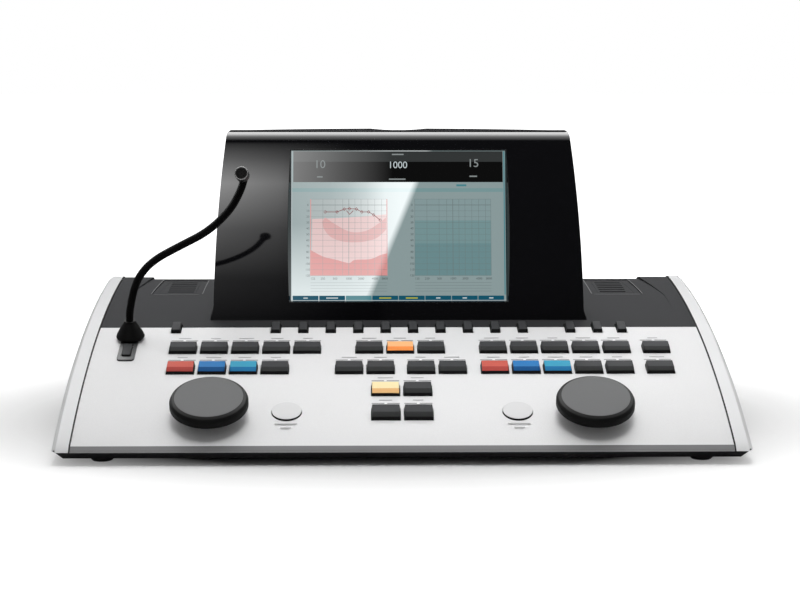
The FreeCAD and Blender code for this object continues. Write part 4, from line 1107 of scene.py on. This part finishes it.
def round_corners(piece, radius, segments, tall):
    """Round the upright edges of a block that are longer than tall; lengths in millimetres."""
    mesh = edit(piece)
    mesh.select_mode = {"EDGE"}
    for edge in mesh.edges:
        edge.select = abs(edge.verts[0].co.z - edge.verts[1].co.z) > tall * MM
    bpy.ops.mesh.bevel(offset=radius * MM, segments=segments)
    done()


talk = block("talk", TALK[0], TALK[1], -TALK_DEEP, 0.0)
round_corners(talk, TALK_CORNER, 5, 2.0)
bevel(talk, TALK_ROUND, 3, 40.0)
talk.data.transform(place)
finish(talk, "button_talk", "talk_button", KEY_DARK, ("talk_button",))
blacken(talk, place, TALK_FLANK)

# %% [markdown]
# ## The picture on the screen
# The screen shows two hearing charts on a pale teal ground, under a black header with three
# readouts. Each field is a thin tile laid on the glass, a little higher than the field below
# it, and glows a little as a lit screen does. The lines are long thin tiles too.


# %% [markdown]
# A pale wedge of painted glare is added to the picture's glow. It ends at a slanting edge,
# from GLARE_TOP to GLARE_LOW on the picture, and grows towards that edge and towards the foot
# of the screen.

# %% Painted glare on the picture
GLARE_TOP = LID_PLACE @ (Vector((25.5, 146.5, SCREEN_V)) * MM)
GLARE_LOW = LID_PLACE @ (Vector((-26.0, 21.3, SCREEN_V)) * MM)
GLARE_X = (-88.0, 2.0)
GLARE_ACROSS = ((0.0, 0.07), (0.33, 0.14), (0.50, 0.22), (0.67, 0.36), (0.85, 0.60), (1.0, 0.66))
GLARE_EDGE = 3.0
FOOT_FROM, FOOT_TO, FOOT_SHARE, FOOT_LEVEL = 8.0, 62.0, 0.72, 0.62


def span(nodes, links, source, start, end, low=0.0, high=1.0):
    """Value that runs from low to high while the source runs from start to end."""
    node = nodes.new("ShaderNodeMapRange")
    for name, value in (("From Min", start), ("From Max", end), ("To Min", low), ("To Max", high)):
        node.inputs[name].default_value = value
    links.new(source, node.inputs["Value"])
    return node.outputs["Result"]


def reckon(nodes, links, kind, a, b):
    """Math node of this kind; each input is a socket or a number."""
    node = nodes.new("ShaderNodeMath")
    node.operation = kind
    for socket, value in zip(node.inputs, (a, b)):
        if isinstance(value, (int, float)):
            socket.default_value = value
        else:
            links.new(value, socket)
    return node.outputs["Value"]


def stepped(nodes, links, source, stops):
    """Value that follows stops of (share, level)."""
    node = nodes.new("ShaderNodeValToRGB")
    elements = node.color_ramp.elements
    elements[0].position, elements[1].position = stops[0][0], stops[-1][0]
    for place, level in stops[1:-1]:
        elements.new(place)
    for element, (place, level) in zip(elements, stops):
        element.color = (level, level, level, 1.0)
    links.new(source, node.inputs["Fac"])
    return node.outputs["Color"]


def painted_glare_of(nodes, links, x, z):
    """Strength of the painted glare wedge at a point of the picture."""
    slope = (GLARE_TOP.x - GLARE_LOW.x) / (GLARE_TOP.z - GLARE_LOW.z)
    level = stepped(nodes, links, span(nodes, links, x, *(at * MM for at in GLARE_X)), GLARE_ACROSS)
    foot = (GLARE_LOW.z + FOOT_FROM * MM, GLARE_LOW.z + FOOT_TO * MM)
    low = span(nodes, links, z, *foot, FOOT_SHARE, 0.0)
    rest = reckon(nodes, links, "SUBTRACT", 1.0, low)
    level = reckon(nodes, links, "ADD", reckon(nodes, links, "MULTIPLY", level, rest),
                   reckon(nodes, links, "MULTIPLY", low, FOOT_LEVEL))
    past = reckon(nodes, links, "SUBTRACT", x, reckon(nodes, links, "MULTIPLY", z, slope))
    edge = GLARE_LOW.x - GLARE_LOW.z * slope
    inside = span(nodes, links, past, edge - GLARE_EDGE * MM, edge + GLARE_EDGE * MM, 1.0, 0.0)
    return reckon(nodes, links, "MULTIPLY", level, inside)


# %% Screen finish
GLOW, UNLIT = 0.75, 0.10       # share of a colour that is given off, and that is mere paint
SHEEN_X = (-90.0, -5.0)


def lit(name, colour, gain=1.0, sheen=0.0):
    """Field of a lit picture behind glossy glass, with painted glare added to its glow.

    gain is its share of the painted glare wedge, sheen a painted reflection: a grey that fades from the
    left edge to the middle."""
    made, nodes, links, shader = new_material(name)
    where = nodes.new("ShaderNodeTexCoord")
    split = nodes.new("ShaderNodeSeparateXYZ")
    links.new(where.outputs["Object"], split.inputs["Vector"])
    x, z = split.outputs["X"], split.outputs["Z"]
    level = reckon(nodes, links, "MULTIPLY", painted_glare_of(nodes, links, x, z), gain)
    level = reckon(nodes, links, "ADD", level,
                   span(nodes, links, x, *(at * MM for at in SHEEN_X), sheen, 0.0))
    total = nodes.new("ShaderNodeVectorMath")
    total.operation = "ADD"
    total.inputs[0].default_value = [c * GLOW for c in colour]
    links.new(level, total.inputs[1])
    links.new(total.outputs["Vector"], shader.inputs["Emission Color"])
    shader.inputs["Base Color"].default_value = (*[c * UNLIT for c in colour], 1.0)
    shader.inputs["Emission Strength"].default_value = 1.0
    shader.inputs["Roughness"].default_value = 0.05
    return made


# Each field adds its share of the painted glare to its glow; the header fields add a painted reflection
# that fades from the left.
GROUND = lit("screen_ground", (0.30, 0.385, 0.39))
HEADER = lit("screen_header", (0.004, 0.004, 0.004), 0.0, 0.15)
HEADER_SHEEN = lit("screen_header_sheen", (0.04, 0.044, 0.044), 0.0, 0.15)
BAND = lit("screen_band", (0.22, 0.36, 0.37))
CHART_L = lit("screen_chart_left", (0.36, 0.42, 0.42))
CHART_R = lit("screen_chart_right", (0.27, 0.37, 0.38))
CHART_R_MID = lit("screen_chart_right_mid", (0.205, 0.335, 0.345))
CHART_R_LOW = lit("screen_chart_right_low", (0.17, 0.30, 0.315))
PINK = lit("screen_pink", (0.76, 0.42, 0.41), 0.40)
PINK_PALE = lit("screen_pink_pale", (0.80, 0.56, 0.55), 0.50)
PINK_DEEP = lit("screen_pink_deep", (0.80, 0.34, 0.33), 0.30)
INK = lit("screen_ink", (0.10, 0.13, 0.13), 0.3)
RULE = lit("screen_rule", (0.17, 0.22, 0.22), 0.6)
RED_INK = lit("screen_red_ink", (0.25, 0.02, 0.02), 0.2)
TEXT_PALE = lit("screen_text_pale", (0.62, 0.70, 0.72), 0.0)
TEXT_DIM = lit("screen_text_dim", (0.30, 0.33, 0.33), 0.0)
SOFT_KEY = lit("screen_soft_key", (0.008, 0.10, 0.16), 0.0)
SOFT_KEY_PALE = lit("screen_soft_key_pale", (0.08, 0.27, 0.31), 0.1)
YELLOW = lit("screen_yellow", (0.55, 0.52, 0.05), 0.1)
GLASS_V = SCREEN_V - 0.3
LAYER = 0.03
TILE_THICK = LAYER * 0.9
TEXT_THICK = 0.4               # half of the lettering's thickness, in layers


def tile(x0, x1, y0, y1, layer=1, corner=0.0):
    """Thin field of the picture; x and y in millimetres from the picture's lower left."""
    top = GLASS_V + LAYER * layer
    piece = block("tile", x1 - x0, y1 - y0, top - TILE_THICK, top)
    piece.data.transform(Matrix.Translation(((x0 + x1 - SCREEN[0]) / 2 * MM,
                                             (SCREEN_LOW + (y0 + y1) / 2) * MM, 0)))
    if corner > 0:
        round_corners(piece, corner, 4, 0.01)
    return piece


def line_of(middle, half, low, high, layer):
    """Upright line of the picture."""
    return tile(middle - half, middle + half, low, high, layer)


def shelf(left, right, middle, half, layer):
    """Level line of the picture."""
    return tile(left, right, middle - half, middle + half, layer)


def lay(pieces, name, material):
    """Join tiles into one piece of the picture and lay it on the lid."""
    made = joined(pieces)
    made.data.transform(LID_PLACE)
    return finish(made, name, "display", material)


def field(points, layer):
    """Flat field with a free outline, from points in millimetres."""
    piece, mesh = bare("field")
    top = (GLASS_V + LAYER * layer) * MM
    mesh.faces.new([mesh.verts.new(((x - SCREEN[0] / 2) * MM, (SCREEN_LOW + y) * MM, top))
                    for x, y in points])
    bmesh.update_edit_mesh(piece.data)
    take_all()
    bpy.ops.mesh.extrude_region_move(TRANSFORM_OT_translate={"value": (0, 0, -TILE_THICK * MM)})
    face_outward()
    done()
    return piece


def wording(text, x, y, size, layer):
    """Plain lettering of the picture; y is the line's middle."""
    deselect()
    bpy.ops.object.text_add()
    piece = bpy.context.object
    piece.data.body = text
    piece.data.size = size * MM
    piece.data.extrude = LAYER * TEXT_THICK * MM
    piece.data.align_x = "CENTER"
    piece.data.align_y = "CENTER"
    bpy.ops.object.convert(target="MESH")
    piece = bpy.context.object
    piece.data.transform(Matrix.Translation(((x - SCREEN[0] / 2) * MM, (SCREEN_LOW + y) * MM,
                                             (GLASS_V + LAYER * (layer - TEXT_THICK)) * MM)))
    return piece


def stroke(x0, y0, x1, y1, width, layer):
    """Thin straight line between two points of the picture."""
    along = Vector((x1 - x0, y1 - y0))
    side = Vector((-along.y, along.x)).normalized() * width / 2
    a, b = Vector((x0, y0)), Vector((x1, y1))
    return field([tuple(a - side), tuple(b - side), tuple(b + side), tuple(a + side)], layer)


# %% Screen grounds
W, H = SCREEN
INSET = 1.5                    # header to the picture's edge
lay([tile(0, W, 0, H)], "picture_ground", GROUND)
lay([tile(INSET, W - 2.0, H - 27.0, H - 0.4, 2)], "picture_header", HEADER)
lay([tile(INSET, W - 2.0, H - 9.5, H - 0.4, 3)], "picture_header_sheen", HEADER_SHEEN)
lay([tile(0.5, W - 2.0, H - 35.4, H - 32.2, 2)], "picture_band", BAND)
lay([tile(139.6, 148.0, H - 30.6, H - 28.9, 3), tile(179.6, 180.5, 5.0, H - 0.5, 3)],
    "picture_band_mark", SOFT_KEY_PALE)
lay([tile(0.0, 0.5, 0.0, H, 6), tile(0.0, W, 0.0, 0.35, 6)], "picture_rim", TEXT_PALE)

# %% [markdown]
# Each chart has eleven upright pitch lines and fourteen level loudness lines, with plain
# numbers along both. The left chart carries a curve over three tinted zones. The last number
# of a tile or stroke is its layer: a higher one lies on top.

# %% Charts
CHART = (64.4, 65.2)
CHART_LOW = 21.2
CHART_HIGH = CHART_LOW + CHART[1]
CHART_X = (16.3, 104.2)
PITCH_LINES = (0.0, 0.16, 0.32, 0.42, 0.50, 0.58, 0.66, 0.75, 0.84, 0.93, 1.0)
PITCHES = (("125", 0.03), ("250", 0.16), ("500", 0.32), ("1000", 0.5), ("2000", 0.66), ("4000", 0.84),
           ("8000", 0.97))
STEPS = 13                     # loudness steps from the chart's foot to its top
SCALE_SIZE, SCALE_GAP = 2.6, (2.4, 2.6)
RULES = (8.0, 10.4, 12.8, 15.2)
FINE, FINE_LEVEL = 0.12, 0.1   # half of a thin line's width, upright and level
BOLD, BOLD_LEVEL = 0.22, 0.25  # the same for the two lines that are drawn stronger


def chart(left, name, paper, ink):
    right = left + CHART[0]
    rows = [CHART_LOW + CHART[1] * n / STEPS for n in range(STEPS + 1)]
    lay([tile(left, right, CHART_LOW, CHART_HIGH, 2)], "picture_paper_" + name, paper)
    lines = [line_of(left + CHART[0] * at, FINE, CHART_LOW, CHART_HIGH, 4) for at in PITCH_LINES]
    lines += [shelf(left, right, y, FINE_LEVEL, 4) for y in rows]
    lines += [shelf(left, right, rows[-2], BOLD_LEVEL, 5),
              line_of(left + CHART[0] / 2, BOLD, CHART_LOW, CHART_HIGH, 5)]
    lay(lines, "picture_grid_" + name, ink)
    marks = [wording(str(10 * n), left - SCALE_GAP[0], y, SCALE_SIZE, 3)
             for n, y in enumerate(rows[-2::-1])]
    marks += [wording(pitch, left + CHART[0] * at, CHART_LOW - SCALE_GAP[1], SCALE_SIZE, 3)
              for pitch, at in PITCHES]
    lay(marks, "picture_scale_" + name, INK)
    lay([shelf(left, right, y, FINE, 3) for y in RULES], "picture_rules_" + name, RULE)


chart(CHART_X[0], "left", CHART_L, RULE)
chart(CHART_X[1], "right", CHART_R, RULE)
for layer, share, paper in ((2.4, 0.72, CHART_R_MID), (2.8, 0.42, CHART_R_LOW)):
    lay([tile(CHART_X[1], CHART_X[1] + CHART[0], CHART_LOW, CHART_LOW + CHART[1] * share, layer)],
        paper.name.replace("screen", "picture"), paper)


# %% Tinted zones and the curve
def on_chart(points):
    """Places on the left chart, from shares of its width and height."""
    return [(CHART_X[0] + CHART[0] * x, CHART_LOW + CHART[1] * y) for x, y in points]


def curved(points, steps=6):
    """Smooth line through points of a chart, by Catmull and Rom's rule."""
    made = []
    ends = [points[0]] + list(points) + [points[-1]]
    for a, b, c, d in zip(ends, ends[1:], ends[2:], ends[3:]):
        for n in range(steps):
            t = n / steps
            made.append(tuple(0.5 * (2 * q + (r - p) * t + (2 * p - 5 * q + 4 * r - s) * t * t
                                     + (3 * q - p - 3 * r + s) * t ** 3)
                              for p, q, r, s in zip(a, b, c, d)))
    return made + [points[-1]]


def between(a, b, width, layer):
    """Stroke from one share of the chart to another."""
    return stroke(*on_chart([a])[0], *on_chart([b])[0], width, layer)


upper = curved([(0.19, 0.76), (0.34, 0.66), (0.48, 0.585), (0.60, 0.565), (0.74, 0.59), (0.86, 0.66),
                (0.99, 0.76)])
lower = curved([(0.99, 0.60), (0.88, 0.50), (0.76, 0.455), (0.60, 0.435), (0.42, 0.445), (0.27, 0.50),
                (0.18, 0.60), (0.15, 0.70)])
pale = curved([(0.02, 0.74), (0.5, 0.76), (0.99, 0.80)])
deep = curved([(0.0, 0.335), (0.16, 0.25), (0.34, 0.205), (0.50, 0.165), (0.58, 0.205), (0.78, 0.215),
               (0.92, 0.27), (1.0, 0.29)])
pale = [(0.02, 0.74)] + pale + [(0.99, 0.0), (0.02, 0.0)]
deep += [(1.0, 0.0), (0.0, 0.0)]
for points, layer, name, material in ((pale, 2.6, "pale", PINK_PALE),
                                      (upper + lower, 3.0, "speech", PINK),
                                      (deep, 3.2, "low", PINK_DEEP)):
    lay([field(on_chart(points), layer)], "picture_zone_" + name, material)
CURVE = ((0.19, 0.832), (0.345, 0.832), (0.44, 0.87), (0.51, 0.875), (0.60, 0.87), (0.67, 0.832),
         (0.76, 0.832), (0.825, 0.795), (0.91, 0.725))
MARK, MARK_LINE = (1.2, 1.3), 0.35
CURVE_LINE, EDGE_LINE = 0.5, 0.7
POINTER = ((0.47, 0.85), (0.51, 0.80), (0.56, 0.85))
lay([between((x, 0.0), (x, 1.0), EDGE_LINE, 5) for x in (0.0, 1.0)], "picture_chart_edges", PINK_DEEP)
spots = on_chart(CURVE)
curve = [stroke(*a, *b, CURVE_LINE, 6) for a, b in zip(spots, spots[1:])]
curve += [between(a, b, CURVE_LINE, 6) for a, b in zip(POINTER, POINTER[1:])]
for x, y in spots:
    ring = [(x - MARK[0], y), (x, y - MARK[1]), (x + MARK[0], y), (x, y + MARK[1])]
    curve += [stroke(*a, *b, MARK_LINE, 7) for a, b in zip(ring, ring[1:] + ring[:1])]
lay(curve, "picture_curve", RED_INK)

# %% Readouts and soft keys
READOUT = (8.2, 9.8)           # size of the pitch and of the levels
SOFT_KEYS, SOFT_FROM = 8, 1.0
SOFT_PITCH = (W - 2.5) / SOFT_KEYS
SOFT_GAP, SOFT_Y, SOFT_CORNER = 0.3, (0.4, 4.2), 0.4
MARK_Y = (1.7, 2.7)
MARKS = {0: TEXT_PALE, 1: TEXT_PALE, 3: YELLOW, 4: YELLOW, 5: TEXT_PALE, 6: TEXT_PALE, 7: TEXT_PALE}
lay([wording("1000", W / 2 - 0.5, H - 12.5, READOUT[0], 5)], "picture_pitch", TEXT_PALE)
lay([wording("10", 24.0, H - 12.0, READOUT[1], 5), wording("15", W - 27.0, H - 11.0, READOUT[1], 5)]
    + [shelf(x - half, x + half, y, 0.55, 5) for x, y, half in (
        (24.0, H - 22.5, 2.4), (W - 27.0, H - 22.0, 3.2), (W / 2 - 1.0, H - 24.5, 7.0),
        (W / 2 - 0.5, H - 3.2, 5.0))],
    "picture_levels", TEXT_DIM)
keys = [tile(SOFT_FROM + n * SOFT_PITCH + SOFT_GAP, SOFT_FROM + (n + 1) * SOFT_PITCH - SOFT_GAP,
             *SOFT_Y, 3, SOFT_CORNER) for n in range(SOFT_KEYS)]
pale_key = keys.pop(2)
lay(keys, "picture_soft_keys", SOFT_KEY)
lay([pale_key], "picture_soft_key_pale", SOFT_KEY_PALE)
for n, material in MARKS.items():
    x = SOFT_FROM + (n + 0.5) * SOFT_PITCH
    half = 5.0 if n in (1, 3, 4) else 1.8
    lay([tile(x - half, x + half, *MARK_Y, 4)], "picture_mark_%d" % n, material)

# %% [markdown]
# ## Legends on the panel
# A thin printed bar stands behind each key, with a gap in its middle for a tiny lamp, and a
# faint dash stands behind the bar. Prints have almost no height, so each is a tile about a
# tenth of a millimetre proud of the panel's skin.

# %% Legends
LEGEND_BACK = {"1": 9.6, "2": 8.4, "3": 7.6, "4": 6.8}      # bar behind the key, by row
BAR, BAR_OUT, BAR_HIGH = (9.6, 1.1), 6.0, 0.12
LAMP_SIZE, LAMP_HIGH = (1.6, 1.2), 0.16
DASH, DASH_W, DASH_BACK, DASH_HIGH = (8.0, 12.0, 10.0), 1.0, 4.6, 0.1
PRINT_SUNK = 0.05
TONE_DASH, TONE_DASH_W, TONE_DASH_Y, TONE_DASH_PITCH = (17.0, 8.0), 1.2, -16.0, 5.0
TONE_SKIN = (-1.25, -1.05)     # the panel's skin below the top of a tone switch


def sticker(place, x, y, size, z):
    made = block("print", size[0], size[1], *z)
    made.data.transform(place @ Matrix.Translation((x * MM, y * MM, 0)))
    return made


bars, lamps, dashes = [], [], []
for node in KEYS:
    row, column = int(node[5]), int(node[7:9])
    at = seat(node) @ Matrix.Translation((0, 0, -(KEY_TOP[1] + KEY_SINK) * MM))
    y = KEY[1] / 2 + LEGEND_BACK[node[5]]
    bars += [sticker(at, side * BAR_OUT, y, BAR, (-PRINT_SUNK, BAR_HIGH)) for side in (-1, 1)]
    dash = (DASH[(row + column) % 3], DASH_W)
    dashes.append(sticker(at, 0, y + DASH_BACK, dash, (-PRINT_SUNK, DASH_HIGH)))
    lamps.append(sticker(at, 0, y, LAMP_SIZE, (-PRINT_SUNK, LAMP_HIGH)))
for side in ("left", "right"):
    dashes += [sticker(seat("tone_switch_" + side), 0, TONE_DASH_Y - TONE_DASH_PITCH * n,
                       (wide, TONE_DASH_W), TONE_SKIN) for n, wide in enumerate(TONE_DASH)]
for pieces, name, material in ((bars, "legend_bars", LEGEND), (lamps, "legend_lamps", LAMP),
                               (dashes, "legend_dashes", LEGEND_FAINT)):
    finish(joined(pieces), name, "console", material)

# %% [markdown]
# ## Stage and light
# The floor and the space behind are plain white. The white is in the floor and the world,
# not in the lamps, so the silver panel keeps its tone. The world is bright behind and dark
# in front, as in a studio where the camera side is flagged off: that keeps the gloss bezel
# black. The floor glows only away from the console, so its soft shadow stays near it.

# %% Stage
FLOOR, FLOOR_TONE, FLOOR_GLOW = 14.0, 0.80, 1.1
SHADE = (0.27, 0.55)           # the floor's glow starts and is full at these distances
SHADE_OVAL = (1.0, 1.4, 1.0)

deselect()
bpy.ops.mesh.primitive_plane_add(size=FLOOR)
floor = bpy.context.object
floor.name = "floor"
white, nodes, links, shader = new_material("floor_white")
shader.inputs["Base Color"].default_value = (FLOOR_TONE, FLOOR_TONE, FLOOR_TONE, 1.0)
shader.inputs["Roughness"].default_value = 0.9
shader.inputs["Specular IOR Level"].default_value = 0.0
where = nodes.new("ShaderNodeTexCoord")
oval = nodes.new("ShaderNodeMapping")
oval.inputs["Scale"].default_value = SHADE_OVAL
reach = nodes.new("ShaderNodeVectorMath")
reach.operation = "LENGTH"
links.new(where.outputs["Object"], oval.inputs["Vector"])
links.new(oval.outputs["Vector"], reach.inputs[0])
away = span(nodes, links, reach.outputs["Value"], *SHADE, 0.0, FLOOR_GLOW)
path = nodes.new("ShaderNodeLightPath")
glow = nodes.new("ShaderNodeEmission")
shown = reckon(nodes, links, "MULTIPLY", path.outputs["Is Camera Ray"], away)
links.new(shown, glow.inputs["Strength"])
total = nodes.new("ShaderNodeAddShader")
links.new(shader.outputs["BSDF"], total.inputs[0])
links.new(glow.outputs["Emission"], total.inputs[1])
links.new(total.outputs["Shader"], nodes["Material Output"].inputs["Surface"])
floor.data.materials.append(white)
deselect()

# %% World
DARK_FRONT = (-0.55, -0.25)    # the world's direction along Y, from the dark side to the pale one
DARK_LEVEL, PALE_LEVEL, DIFFUSE_FILL = 0.03, 0.36, 0.20

if bpy.context.scene.world is None:
    bpy.context.scene.world = bpy.data.worlds.new("studio")
world = bpy.context.scene.world
world.use_nodes = True
nodes, links = world.node_tree.nodes, world.node_tree.links
sky = nodes["Background"]
sky.inputs["Color"].default_value = (1.0, 1.0, 1.0, 1.0)
aim = nodes.new("ShaderNodeTexCoord")
split = nodes.new("ShaderNodeSeparateXYZ")
links.new(aim.outputs["Generated"], split.inputs["Vector"])
front = span(nodes, links, split.outputs["Y"], *DARK_FRONT, DARK_LEVEL, PALE_LEVEL)
path = nodes.new("ShaderNodeLightPath")
fill = reckon(nodes, links, "MULTIPLY", path.outputs["Is Diffuse Ray"], DIFFUSE_FILL)
level = nodes.new("ShaderNodeMix")
level.data_type = "FLOAT"
level.inputs["B"].default_value = 1.0
links.new(path.outputs["Is Camera Ray"], level.inputs["Factor"])
links.new(reckon(nodes, links, "ADD", fill, front), level.inputs["A"])
links.new(level.outputs["Result"], sky.inputs["Strength"])

# %% [markdown]
# Two soft boxes hang over the desk: a long one lights the whole console, and a smaller one
# adds a soft pool of light on the keys. Neither is seen in the gloss. The gloss mirrors two
# graded cards instead: one overhead draws the bright band along the display's top, and one
# to the left behind the camera leaves the soft sheen on the bezel's left side.


# %% Lamps
LAMPS = (   # name, place, target, size, power
    ("overhead_box", (0.0, -0.08, 1.5), (0.0, -0.06, 0.05), (1.5, 0.4), 2.5),
    ("pool_box", (0.05, -0.55, 1.35), (0.04, 0.0, 0.07), (0.5, 0.4), 0.62))
POOL_SPREAD = math.radians(40.0)

for name, at, towards, size, power in LAMPS:
    bpy.ops.object.light_add(type="AREA", location=at)
    lamp = bpy.context.object
    lamp.name = name
    lamp.data.shape = "RECTANGLE"
    lamp.data.size, lamp.data.size_y = size
    lamp.data.energy = power
    lamp.rotation_euler = (Vector(towards) - Vector(at)).to_track_quat("-Z", "Y").to_euler()
    lamp.visible_glossy = False
    deselect()
lamp.data.spread = POOL_SPREAD

# %% Cards
def card(name, matrix, strength, along):
    """Bright card that is seen only in gloss; along lists (axis, start, end, stops) of its grading."""
    deselect()
    bpy.ops.mesh.primitive_plane_add(size=1.0)
    sheet = bpy.context.object
    sheet.name = name
    sheet.data.transform(matrix)
    made, nodes, links, shader = new_material(name)
    where = nodes.new("ShaderNodeTexCoord")
    split = nodes.new("ShaderNodeSeparateXYZ")
    links.new(where.outputs["Object"], split.inputs["Vector"])
    level = strength
    for axis, start, end, stops in along:
        share = stepped(nodes, links, span(nodes, links, split.outputs[axis], start, end), stops)
        level = reckon(nodes, links, "MULTIPLY", share, level)
    glow = nodes.new("ShaderNodeEmission")
    links.new(level, glow.inputs["Strength"])
    links.new(glow.outputs["Emission"], nodes["Material Output"].inputs["Surface"])
    sheet.data.materials.append(made)
    sheet.visible_camera = False
    sheet.visible_diffuse = False
    sheet.visible_shadow = False
    deselect()


# The glare card stands 1.6 m in front, and is graded across and up.
GLARE_SIZE, GLARE_AT, GLARE_POWER = (0.9, 1.8), (-0.45, -1.6, 1.1), 6.4
GLARE_LEVELS = (((0.0, 0.9), (0.33, 1.0), (0.58, 0.6), (0.85, 0.08), (1.0, 0.0)),
                ((0.0, 0.02), (0.17, 0.07), (0.39, 0.34), (0.64, 1.0), (0.80, 0.39), (0.95, 0.0)))
card("glare_card", Matrix.Translation(GLARE_AT) @ Matrix.Rotation(math.pi / 2, 4, "X")
     @ Matrix.Diagonal((*GLARE_SIZE, 1.0, 1.0)), GLARE_POWER,
     [("X", -0.45, 0.0, GLARE_LEVELS[0]), ("Z", 0.2, 2.0, GLARE_LEVELS[1])])

# The top card hangs 1.5 m up, and is graded from the front to the back.
TOP_SIZE, TOP_AT, TOP_POWER = (3.2, 2.9), (0.0, 0.45, 1.5), 9.0
TOP_LEVELS = ((0.0, 0.0), (0.083, 0.04), (0.152, 0.15), (0.224, 0.2), (0.29, 0.32), (0.35, 0.44),
              (0.42, 0.77), (0.49, 1.0), (0.59, 0.94), (0.72, 0.78), (1.0, 0.46))
card("top_card", Matrix.Translation(TOP_AT) @ Matrix.Diagonal((*TOP_SIZE, 1.0, 1.0)), TOP_POWER,
     [("Y", -1.0, 1.9, TOP_LEVELS)])
